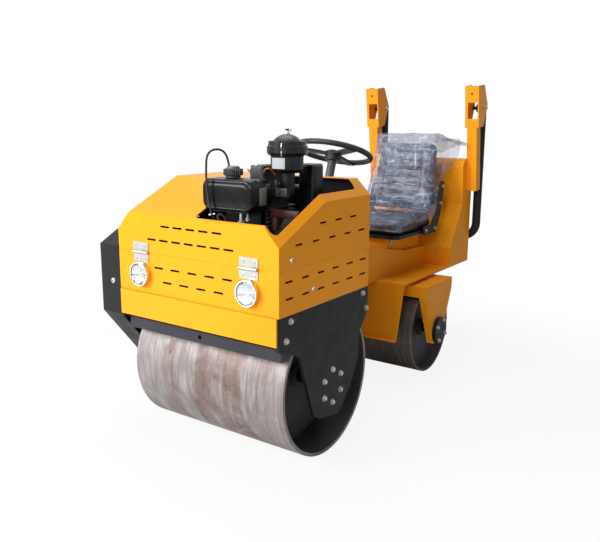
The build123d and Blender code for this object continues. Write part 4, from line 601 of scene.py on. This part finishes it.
# ---------------------------------------------------------------- engine dress
def rounded_ring(bm, y, x0, x1, z0, z1, radius, steps=8):
    """Ring of vertices round a rounded rectangle facing -Y, in mm."""
    ring = []
    for cx, cz, start in ((x1 - radius, z1 - radius, 0), (x0 + radius, z1 - radius, 90),
                          (x0 + radius, z0 + radius, 180), (x1 - radius, z0 + radius, 270)):
        for step in range(steps + 1):
            turn = math.radians(start + 90 * step / steps)
            ring.append(bm.verts.new(mm(cx + radius * math.cos(turn), y, cz + radius * math.sin(turn))))
    return ring


TANK_X0, TANK_X1, TANK_FOOT, TANK_TOP = 14, 224, 868, 972
TANK_FITTING = (67, 117)     # x, y
TANK_SECTIONS = [  # y, inset of the section, corner radius
    (36.2, 26, 14), (36.6, 19, 18), (38.5, 13, 21), (37.6, 10.5, 23), (37.4, 8.5, 24), (39, 5.5, 25),
    (43, 2.6, 25), (50, 1.0, 24), (70, 0.6, 23), (88.5, 0.8, 22), (89.5, 0.1, 22), (94.5, 0.1, 22),
    (95.5, 0.8, 22), (128, 0.9, 22), (140, 2.6, 23), (146, 7, 25), (147.8, 14, 22)]
bm = bmesh.new()
skin(bm, [rounded_ring(bm, y, TANK_X0 + inset, TANK_X1 - inset, TANK_FOOT + inset, TANK_TOP - inset, radius)
          for y, inset, radius in TANK_SECTIONS])
turned(bm, [(0, -2), (8.5, -2), (8.5, 1.2), (6.5, 1.2), (6.5, 2.6), (4.2, 3.2), (4.2, 6), (0, 6)],
       (*TANK_FITTING, TANK_TOP), UP, 20)
tank = piece_from(bm, "fuel_tank_pressed", TANK_BLACK, "machine", 50)
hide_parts("fuel_tank")

# ribbed filler cap over a plain collar, and its grey lid
CAP_X, CAP_Y = 104, 92
CAP_AT = (CAP_X, CAP_Y, TANK_TOP)
CAP_RIBS = 28
CAP_SECTIONS = [(8, 27.5, 29.5), (9.5, 29.5, 31.9), (26, 29.5, 31.9), (28.5, 28, 29.5), (29.2, 22, 22.2)]
bm = bmesh.new()
turned(bm, [(0, 0.4), (24, 0.4), (24, 9), (0, 9)], CAP_AT, UP, 40)
rings = []
for height, between, on_rib in CAP_SECTIONS:
    ring = []
    for step in range(CAP_RIBS * 4):
        radius = on_rib if step % 4 in (1, 2) else between
        turn = 2 * math.pi * step / (CAP_RIBS * 4)
        ring.append(bm.verts.new(mm(CAP_X + radius * math.cos(turn), CAP_Y + radius * math.sin(turn),
                                    TANK_TOP + height)))
    rings.append(ring)
skin(bm, rings)
cap = piece_from(bm, "tank_cap_ribbed", CAP_BLACK, "machine", 35)
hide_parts("tank_cap")
bm = bmesh.new()
turned(bm, [(0, 29.0), (23, 29.0), (23, 30.6), (21.4, 31.2), (20.6, 35.4), (17.5, 37.4), (0, 37.9)],
       CAP_AT, UP, 48)
piece_from(bm, "tank_cap_lid", CAP_GREY, "machine", 35)


def patch_on_cylinder(bm, x, y, radius, z0, z1, start, end, steps=12, thick=0.5):
    """Thin label bent round an upright cylinder, angles in degrees from +X, sizes in mm."""
    grid = []
    for step in range(steps + 1):
        turn = math.radians(start + (end - start) * step / steps)
        for depth in (0, thick):
            for z in (z0, z1):
                r = radius + 0.15 + depth
                grid.append(bm.verts.new(mm(x + r * math.cos(turn), y + r * math.sin(turn), z)))
    for step in range(steps):
        a = grid[step * 4:step * 4 + 4]
        b = grid[step * 4 + 4:step * 4 + 8]
        for i, j in ((0, 1), (3, 2), (1, 3), (2, 0)):
            bm.faces.new((a[i], a[j], b[j], b[i]))
    bm.faces.new((grid[0], grid[2], grid[3], grid[1]))
    bm.faces.new((grid[-4], grid[-3], grid[-1], grid[-2]))


FILTER_X, FILTER_Y, FILTER_TOP = 217, 232, 1110
bm = bmesh.new()
patch_on_cylinder(bm, FILTER_X, FILTER_Y, 54, 1000, 1035, -118, -62)
piece_from(bm, "filter_label_blank", LABEL_WHITE, "machine")
bm = bmesh.new()
slab(bm, (223.4, 76, 890), (224.3, 112, 946), 0.3)
piece_from(bm, "tank_label_blank", LABEL_GREY, "machine")

# wing nut on the filter's stud
WING_LINE = [(5, 5), (11, 9), (14, 15)]      # distance from the axis, height
bm = bmesh.new()
nut_at = (FILTER_X, FILTER_Y, FILTER_TOP)
turned(bm, [(0, 0.3), (9.5, 0.3), (9.5, 2), (7.6, 2), (7.0, 11), (0, 11)], nut_at, UP, 20)
for side in (-1, 1):
    wing = [(FILTER_X + side * out, FILTER_Y, FILTER_TOP + up) for out, up in WING_LINE]
    tube(bm, wing, 2.6, 8)
turned(bm, [(0, 10), (3.2, 10), (3.2, 16.8), (0, 17.2)], nut_at, UP, 14)
piece_from(bm, "filter_wing_nut", STEEL, "machine")

# clips round the filter's collar
CLIP_LINE = [(65, 1040), (68.6, 1052), (68.8, 1070), (64.4, 1082)]   # distance from the axis, z
bm = bmesh.new()
for turn in (-160, -70, 20, 110):
    c, s = polar(1, turn)
    tube(bm, [(FILTER_X + out * c, FILTER_Y + out * s, z) for out, z in CLIP_LINE], 1.6, 8)
piece_from(bm, "filter_clips", STEEL, "machine")

# injector line with its fittings, speed lever, duct guard and fuel tap beside the engine
LINE_FROM, LINE_TO, STUD = (150, 192), (184, 222), (100, 190)    # x, y
bm = bmesh.new()
tube(bm, [(*LINE_FROM, 950), (152, 188, 972), (156, 186, 988), (164, 187, 997), (174, 192, 999),
          (182, 202, 990), (184, 214, 968), (*LINE_TO, 946)], 3.0, 10)
piece_from(bm, "injector_line", COPPER, "machine")
bm = bmesh.new()
for place in (LINE_FROM, LINE_TO):
    turned(bm, [(0, 0), (7.5, 0), (7.5, 9), (5, 12), (0, 12)], (*place, 944), UP, 6)
slab(bm, (86, 184, 985), (114, 196, 1003), 2.5)
turned(bm, [(0, 0), (8, 0), (8, 10), (0, 10)], (*STUD, 944.8), UP, 12)
tube(bm, [(*STUD, 952), (*STUD, 987)], 5, 12)
piece_from(bm, "injector_fittings", STEEL, "machine")
bm = bmesh.new()
slab(bm, (200, 186, 905), (206, 214, 962), 1.5)
slab(bm, (200, 166, 912), (262, 172, 940), 2)
slab(bm, (200, 170, 912), (206, 190, 940), 1.5)
hex_bolt(bm, (232, 166, 926), AHEAD, 14, 9, 10)
hex_bolt(bm, (206, 200, 950), TO_LEFT, 11, 7, 9)
piece_from(bm, "speed_lever", ENGINE_METAL, "machine")
bm = bmesh.new()
slab(bm, (204, 150, 846), (318, 168, 872), 5)
slab(bm, (204, 160, 800), (226, 200, 848), 4)
piece_from(bm, "duct_guard", DARK_RED, "machine")
bm = bmesh.new()
turned(bm, [(13, 0), (19, 0), (19, 7), (13, 7), (13, 0)], (68, 70, 838), (0, 0.9, 0.35), 28)
tube(bm, [(150, 74, 866), (150, 74, 838)], 6, 12)
hex_bolt(bm, (150, 74, 826), UP, 22, 12, 12)
hex_bolt(bm, (172, 80, 838), UP, 12, 10, 7)
tube(bm, [(172, 80, 845), (172, 80, 866)], 3.5, 10)
piece_from(bm, "fuel_tap", STEEL, "machine")

# bolts of the head, its cover and the recoil starter
bm = bmesh.new()
for x in (80, 176):
    for y in (186, 284):
        hex_bolt(bm, (x, y, 945), UP, 13, 9, 9)
for x, y in ((128, 184), (128, 286)):
    dome_bolt(bm, (x, y, 1008), UP, 6, 4)
for turn in range(45, 405, 90):
    y, z = polar(86.5, turn)
    hex_bolt(bm, (244, 255 + y, 735 + z), TO_LEFT, 8, 5, 0.8)
piece_from(bm, "engine_bolts", STEEL, "machine")

# fuel hose from the tank's fitting down to the pump
HOSE = [(*TANK_FITTING, 978), (*TANK_FITTING, 1058), (54, 24, 1065), (50, 21, 985), (55, 22, 912),
        (68, 27, 850), (78, 52, 790), (78, 108, 790)]
HOSE_LENGTH, HOSE_THICK = 0.49, 0.007    # metres
hose_data = bpy.data.curves.new("fuel_hose", "CURVE")
hose_data.dimensions = "3D"
line = hose_data.splines.new("NURBS")
line.points.add(len(HOSE) - 1)
for point, place in zip(line.points, HOSE):
    point.co = (*mm(*place), 1)
line.order_u = 3
line.use_endpoint_u = True
line.resolution_u = 14
hose_data.bevel_depth = HOSE_THICK / 2
hose_data.bevel_resolution = 4
hose_data.use_fill_caps = True
hose_data.materials.append(RUBBER)
hose = bpy.data.objects.new("fuel_hose", hose_data)
bpy.context.scene.collection.objects.link(hose)
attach(hose, "machine")
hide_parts("throttle_cable")

# hand wheel's centre cap
WHEEL_TILT = math.radians(18.6)
bm = bmesh.new()
turned(bm, [(0, 0.2), (27, 0.2), (27, 2.5), (22, 6.5), (12, 8.6), (0, 9.2)], (0, 866, 1025),
       (0, math.sin(WHEEL_TILT), math.cos(WHEEL_TILT)), 40)
piece_from(bm, "wheel_cap", WHEEL_BLACK, "hand_wheel")

# ---------------------------------------------------------------- seat
LEAN = math.radians(14)          # the backrest's
LEAN_C, LEAN_S = math.cos(LEAN), math.sin(LEAN)
BACK_FOOT = (1458.0, 720.6)      # y, z of the backrest's front face at its foot
PAN_FRONT = (1136, 644.3)        # y, z of the cushion's front edge on the pan


def back_spot(across, up, depth):
    """Scene point from the backrest's own millimetres: across, up its face, behind its face."""
    return mm(across, BACK_FOOT[0] + depth * LEAN_C + up * LEAN_S,
              BACK_FOOT[1] - depth * LEAN_S + up * LEAN_C)


def back_local(place):
    """Across, up and depth in mm of a scene point, in the backrest's frame."""
    rel = (place - mm(0, *BACK_FOOT)) * 1000
    return rel.x, rel.y * LEAN_S + rel.z * LEAN_C, rel.y * LEAN_C - rel.z * LEAN_S


def pan_spot(across, back, height):
    """Scene point from the cushion's own millimetres: across, back from its front, over the pan."""
    return mm(across, PAN_FRONT[0] + back, PAN_FRONT[1] + height)


def pan_local(place):
    """Across, back and height in mm of a scene point, in the cushion's frame."""
    rel = (place - mm(0, *PAN_FRONT)) * 1000
    return rel.x, rel.y, rel.z


def pad_cage(spot, half_low, half_high, v0, v1, w0, w1, corner, edge, steps=6):
    """Closed rounded slab, v0 to v1 long and w0 to w1 deep, tapering from half_low to half_high."""
    bm = bmesh.new()
    rings = []
    for inset, w in [(edge, w0), (edge * 0.3, w0 + edge * 0.3), (0, w0 + edge), (0, w1 - edge),
                     (edge * 0.3, w1 - edge * 0.3), (edge, w1)]:
        ring = []
        for sx, sv, start in ((1, 1, 0), (-1, 1, 90), (-1, -1, 180), (1, -1, 270)):
            for step in range(steps + 1):
                turn = math.radians(start + 90 * step / steps)
                v = (v1 - inset - corner if sv > 0 else v0 + inset + corner) + corner * math.sin(turn)
                half = half_low + (half_high - half_low) * (v - v0) / (v1 - v0)
                u = sx * (half - inset - corner) + corner * math.cos(turn)
                ring.append(bm.verts.new(spot(u, v, w)))
        rings.append(ring)
    skin(bm, rings)
    return bm


def applied(piece, kind, **settings):
    """Apply a modifier to a piece."""
    modifier = piece.modifiers.new(kind.lower(), kind)
    for key, value in settings.items():
        setattr(modifier, key, value)
    bpy.ops.object.modifier_apply(modifier=modifier.name)


CLOTH_FRAMES = 20
PRESSURE = 4.0


def swell(piece, voxel, cap):
    """Remesh a pad and blow it up by a cloth simulation; no point moves further than cap."""
    bpy.context.view_layer.objects.active = piece
    applied(piece, "REMESH", mode="VOXEL", voxel_size=voxel)
    start = [vert.co.copy() for vert in piece.data.vertices]
    cloth = piece.modifiers.new("cloth", "CLOTH")
    cloth.settings.use_pressure = True
    cloth.settings.uniform_pressure_force = PRESSURE
    cloth.settings.effector_weights.gravity = 0
    cloth.settings.quality = 5
    cloth.collision_settings.use_collision = False
    cloth.point_cache.frame_start, cloth.point_cache.frame_end = 1, CLOTH_FRAMES
    for number in range(1, CLOTH_FRAMES + 1):
        bpy.context.scene.frame_set(number)
    bpy.ops.object.modifier_apply(modifier="cloth")
    bpy.context.scene.frame_set(1)
    for vert, old in zip(piece.data.vertices, start):
        moved = vert.co - old
        if moved.length > cap:
            vert.co = old + moved.normalized() * cap
    applied(piece, "SMOOTH", iterations=4)
    applied(piece, "SUBSURF", levels=1, render_levels=1)


def hump(value, middle, width):
    """Smooth bump of height 1 at its middle, 0 beyond its width."""
    away = abs(value - middle) / width
    return 0.0 if away >= 1 else (1 - away * away) ** 2


def step_up(value, low, high):
    """Smooth ramp from 0 at low to 1 at high."""
    t = max(0.0, min(1.0, (value - low) / (high - low)))
    return t * t * (3 - 2 * t)


def step_down(value, low, high):
    """Smooth ramp from 1 at low to 0 at high."""
    return 1 - step_up(value, low, high)


BACK_CHANNELS = (96, 136, 176, 216, 256)     # mm up the backrest
PAN_CHANNELS = (112, 160, 208, 256, 304)     # mm back from the cushion's front
SEAM_HALF, CHANNEL_HALF = 7, 9               # mm, half widths
BACK_FADE, PAN_FADE = (14, 34), (40, 60)     # mm into the pad, over which the pressing fades in or out


def back_sink(across, up, depth):
    """mm that the backrest's inset panel, its border seam and its channels lie below its face."""
    if depth > BACK_FADE[1]:
        return 0.0
    front = step_down(depth, *BACK_FADE)
    half = 104 - (up - 60) * 0.03
    across = abs(across)
    inside = step_down(across, half - 12, half + 4) * step_up(up, 52, 66) * step_down(up, 284, 298)
    upright = hump(across, half + 3, SEAM_HALF) * step_up(up, 46, 58) * step_down(up, 290, 302)
    level = max(hump(up, 56, SEAM_HALF), hump(up, 294, SEAM_HALF)) * step_down(across, half, half + 8)
    channels = max(hump(up, middle, CHANNEL_HALF) for middle in BACK_CHANNELS) * inside
    return front * (9 * inside + 6 * max(upright, level) + 7 * channels)


def pan_sink(across, back, height):
    """mm that the cushion's inset panel, its seam and its channels lie below its top."""
    if height < PAN_FADE[0]:
        return 0.0
    across = abs(across)
    inside = step_down(across, 104, 120) * step_up(back, 62, 78) * step_down(back, 330, 350)
    seam = max(hump(across, 120, SEAM_HALF) * step_up(back, 56, 70),
               hump(back, 66, SEAM_HALF) * step_down(across, 116, 124))
    channels = max(hump(back, middle, CHANNEL_HALF) for middle in PAN_CHANNELS) * inside
    return step_up(height, *PAN_FADE) * (7 * inside + 6 * seam + 6 * channels)


def pad(cage, name, replaced, cap, to_local, sink, out):
    """Seat pad from its cage: swollen, its seams and channels pressed in against the way out."""
    piece = piece_from(cage, name, VINYL, "machine", 180)
    swell(piece, 0.006, cap)
    for vert in piece.data.vertices:
        depth = sink(*to_local(vert.co))
        if depth:
            vert.co -= out * depth / 1000
    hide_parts(replaced)


FOOT_DROP = 0.011        # metres, how far the foot of the backrest's face comes down
cage = pad_cage(back_spot, half_low=169, half_high=150, v0=16, v1=351, w0=8, w1=78, corner=30, edge=20)
for vert in cage.verts:
    _, up, depth = back_local(vert.co)
    vert.co -= Vector((0, LEAN_S, LEAN_C)) * FOOT_DROP * (1 - depth / 86) * step_down(up, 10, 90)
pad(cage, "backrest_pad", "seat_backrest", 0.007, back_local, back_sink, Vector((0, -LEAN_C, LEAN_S)))
cage = pad_cage(pan_spot, half_low=173, half_high=173, v0=7, v1=377, w0=2, w1=69, corner=34, edge=20)
pad(cage, "cushion_pad", "seat_cushion", 0.006, pan_local, pan_sink, Vector((0, 0, 1)))

# ---------------------------------------------------------------- clear film left over the seat
# the film's own blue and haze, and the pale tone of its painted highlights
FILM_BLUE, FILM_HAZE, FILM_HIGHLIGHT = srgb(84, 94, 118), srgb(122, 132, 158), srgb(190, 198, 218)
CREASE_HALF = 0.028      # how far from its middle value the noise still counts as a crease


def film_material():
    """Thin crumpled polythene: see-through and bluish, with painted highlights as paler, less clear lines
    along its creases and streaks.
    """
    material, tree, shader = new_material("clear_film")
    level = noise(tree, 13, 5, stretch=(1, 4.2, 4.2), distortion=0.9)
    upright = noise(tree, 12, 5, stretch=(3.6, 1, 1), shift=(4, 1, 6), distortion=0.9)
    highlight_streaks = larger(tree, spread(tree, level, 0.54, 0.72), spread(tree, upright, 0.57, 0.74))
    wander = noise(tree, 3.6, 6, stretch=(1, 2.4, 2.4), distortion=0.5)
    off_middle = maths(tree, "ABSOLUTE", maths(tree, "SUBTRACT", wander, 0.5))
    creases = spread(tree, off_middle, 0.0, CREASE_HALF, 1.0, 0.0)
    # painted highlights: pale, less clear lines along the creases and streaks stand in for light glancing
    # off the film
    lines = larger(tree, highlight_streaks, times(tree, creases, 0.55))
    haze = spread(tree, noise(tree, 9, 5, shift=(1, 5, 2)), 0.35, 0.68)
    tone = mixed(tree, lines, mixed(tree, haze, FILM_BLUE, FILM_HAZE), FILM_HIGHLIGHT)
    cover = larger(tree, spread(tree, haze, 0, 1, 0.30, 0.58), times(tree, lines, 0.72))
    put(shader, Base_Color=tone, Alpha=cover, Specular_IOR_Level=0.3,
        Roughness=spread(tree, noise(tree, 30, 4), 0.3, 0.7, 0.16, 0.32))
    bumped(tree, shader, noise(tree, 26, 5, distortion=1.0), 0.40, 0.0028)
    return material


# stations along the film from its back hem to its front hem: y, z, half width on -X and on +X, side drop,
# more drop on +X, and the way that the drop goes, y and z
FILM_LINE = [
    (1716, 984, 205, 236, 4, 0, 0, -1), (1696, 998, 200, 235, 8, 0, 0, -1),
    (1664, 1018, 190, 226, 12, 0, 0, -1), (1634, 1044, 180, 212, 14, 0, 0, -1),
    (1606, 1070, 170, 196, 16, 0, 0, -1), (1576, 1088, 164, 178, 18, 0, 0.1, -1),
    (1550, 1090, 163, 167, 28, 10, 0.6, -0.6), (1532, 1072, 163, 163, 58, 60, 1, 0),
    (1526, 1034, 165, 165, 62, 66, 1, -0.06), (1511, 970, 168, 168, 60, 50, 1, -0.20),
    (1494, 900, 172, 172, 58, 12, 1, -0.25), (1477, 830, 177, 177, 56, 0, 1, -0.25),
    (1462, 772, 181, 181, 52, 0, 1, -0.3), (1446, 742, 186, 186, 44, 0, 0.6, -0.8),
    (1420, 729, 189, 189, 36, 0, 0.1, -1), (1380, 727, 189, 189, 32, 0, 0, -1),
    (1320, 728, 188, 188, 30, 0, 0, -1), (1260, 729, 188, 188, 30, 0, 0, -1),
    (1200, 728, 188, 188, 30, 0, 0, -1), (1160, 725, 187, 187, 30, 0, 0.1, -1),
    (1136, 716, 186, 186, 28, 0, 0.35, -0.9), (1125, 700, 186, 186, 22, 0, 0.8, -0.6),
    (1122, 682, 187, 187, 12, 0, 1, -0.1), (1120, 668, 188, 188, 2, 0, 1, 0)]
FILM_ROWS, FILM_COLUMNS = 190, 96
SIDE_CORNER = 24.0               # mm, radius of the bend where the film turns down at its sides
BACK_SHARE, PAN_SHARE = 0.45, 0.4    # how much of the pads' channels the film follows
TAIL_LIFT = 52                   # mm, how far the back hem rides up on +X


def along(stations, t):
    """Smooth value at share t of a list of tuples, as a Catmull-Rom curve passes through them."""
    place = t * (len(stations) - 1)
    first = min(int(place), len(stations) - 2)
    f = place - first
    a, b, c, d = (stations[min(max(first + k, 0), len(stations) - 1)] for k in (-1, 0, 1, 2))
    return [0.5 * (2 * q + (r - p) * f + (2 * p - 5 * q + 4 * r - s) * f * f
                   + (3 * q - p - 3 * r + s) * f ** 3) for p, q, r, s in zip(a, b, c, d)]


def film_spot(u, v):
    """Place in mm of the smooth film, and its normal; u runs -1 to 1 across, v 0 to 1 along."""
    y, z, minus_half, plus_half, drop, wing, aim_y, aim_z = along(FILM_LINE, v)
    y2, z2 = along(FILM_LINE, min(1.0, v + 0.002))[:2]
    y1, z1 = along(FILM_LINE, max(0.0, v - 0.002))[:2]
    back = Vector((0, y2 - y1, z2 - z1)).normalized()
    out = Vector((0, back.z, -back.y))
    aim = Vector((0, aim_y, aim_z)).normalized()
    half = plus_half if u > 0 else minus_half
    wing = max(0.0, wing) if u > 0 else 0.0
    drop += wing
    corner = min(SIDE_CORNER, drop / 2 + 1)
    path = abs(u) * (half - corner + math.pi / 2 * corner + max(0.0, drop - corner))
    across, down, turn = path, 0.0, 0.0
    if path > half - corner:
        turn = min((path - half + corner) / corner, math.pi / 2)
        across = half - corner + corner * math.sin(turn)
        down = corner * (1 - math.cos(turn))
        rest = path - (half - corner) - math.pi / 2 * corner
        if rest > 0:
            down += rest
            across += rest * (0.06 + 0.0085 * wing)
    side = 1 if u > 0 else -1
    normal = out * math.cos(turn) + Vector((side, 0, 0)) * math.sin(turn)
    return Vector((side * across, y, z)) + aim * down, normal


def crumple(place, u, v):
    """mm that the film stands off its smooth shape: soft folds, sharp creases and the tail's pleats."""
    stretched = Vector((place.x * 0.020, place.y * 0.034, place.z * 0.034))
    folds = lump(place * 0.017 + Vector((3, 1, 7)))
    ridge = 1 - abs(lump(stretched + Vector((9, 2, 4)))) * 2.2
    small = 1 - abs(lump(place * 0.055 + Vector((1, 8, 3)))) * 2.0
    tail = step_down(v, 0.10, 0.26)
    pleats = math.sin(u * 34 + 4 * folds + 6 * v) * (2.0 + 3.0 * step_up(u, 0.2, 0.9)) * tail
    creases = 3.0 * max(0.0, ridge) ** 3
    return 2.5 + 3.2 * folds + creases + 1.3 * max(0.0, small) ** 2 + pleats + 5 * tail


def film_point(u, v):
    """Scene point of the film: crumpled, ragged at its hems, and following the pads' channels."""
    spot, normal = film_spot(u, v)
    ragged = lump(Vector((u * 5, v * 9, 2.5)))
    hem = max(step_up(abs(u), 0.86, 1.0), step_up(v, 0.97, 1.0), step_down(v, 0.0, 0.05))
    off = crumple(spot, u, v) + hem * (3 + 4 * ragged)
    spot.z += TAIL_LIFT * step_up(u, 0.35, 1.0) * step_down(v, 0.0, 0.20)
    up = back_local(mm(*spot))[1]
    off -= BACK_SHARE * back_sink(spot.x, up, 10) * step_up(v, 0.30, 0.34) * step_down(v, 0.52, 0.56)
    back = spot.y - PAN_FRONT[0]
    off -= PAN_SHARE * pan_sink(spot.x, back, 64) * step_up(v, 0.60, 0.64) * step_down(v, 0.86, 0.90)
    return mm(*(spot + normal * off))


bm = bmesh.new()
grid = [[bm.verts.new(film_point(column / FILM_COLUMNS * 2 - 1, row / FILM_ROWS))
         for column in range(FILM_COLUMNS + 1)] for row in range(FILM_ROWS + 1)]
for before, after in zip(grid, grid[1:]):
    for column in range(FILM_COLUMNS):
        bm.faces.new((before[column], before[column + 1], after[column + 1], after[column]))
film = piece_from(bm, "seat_film", film_material(), "machine", 180)
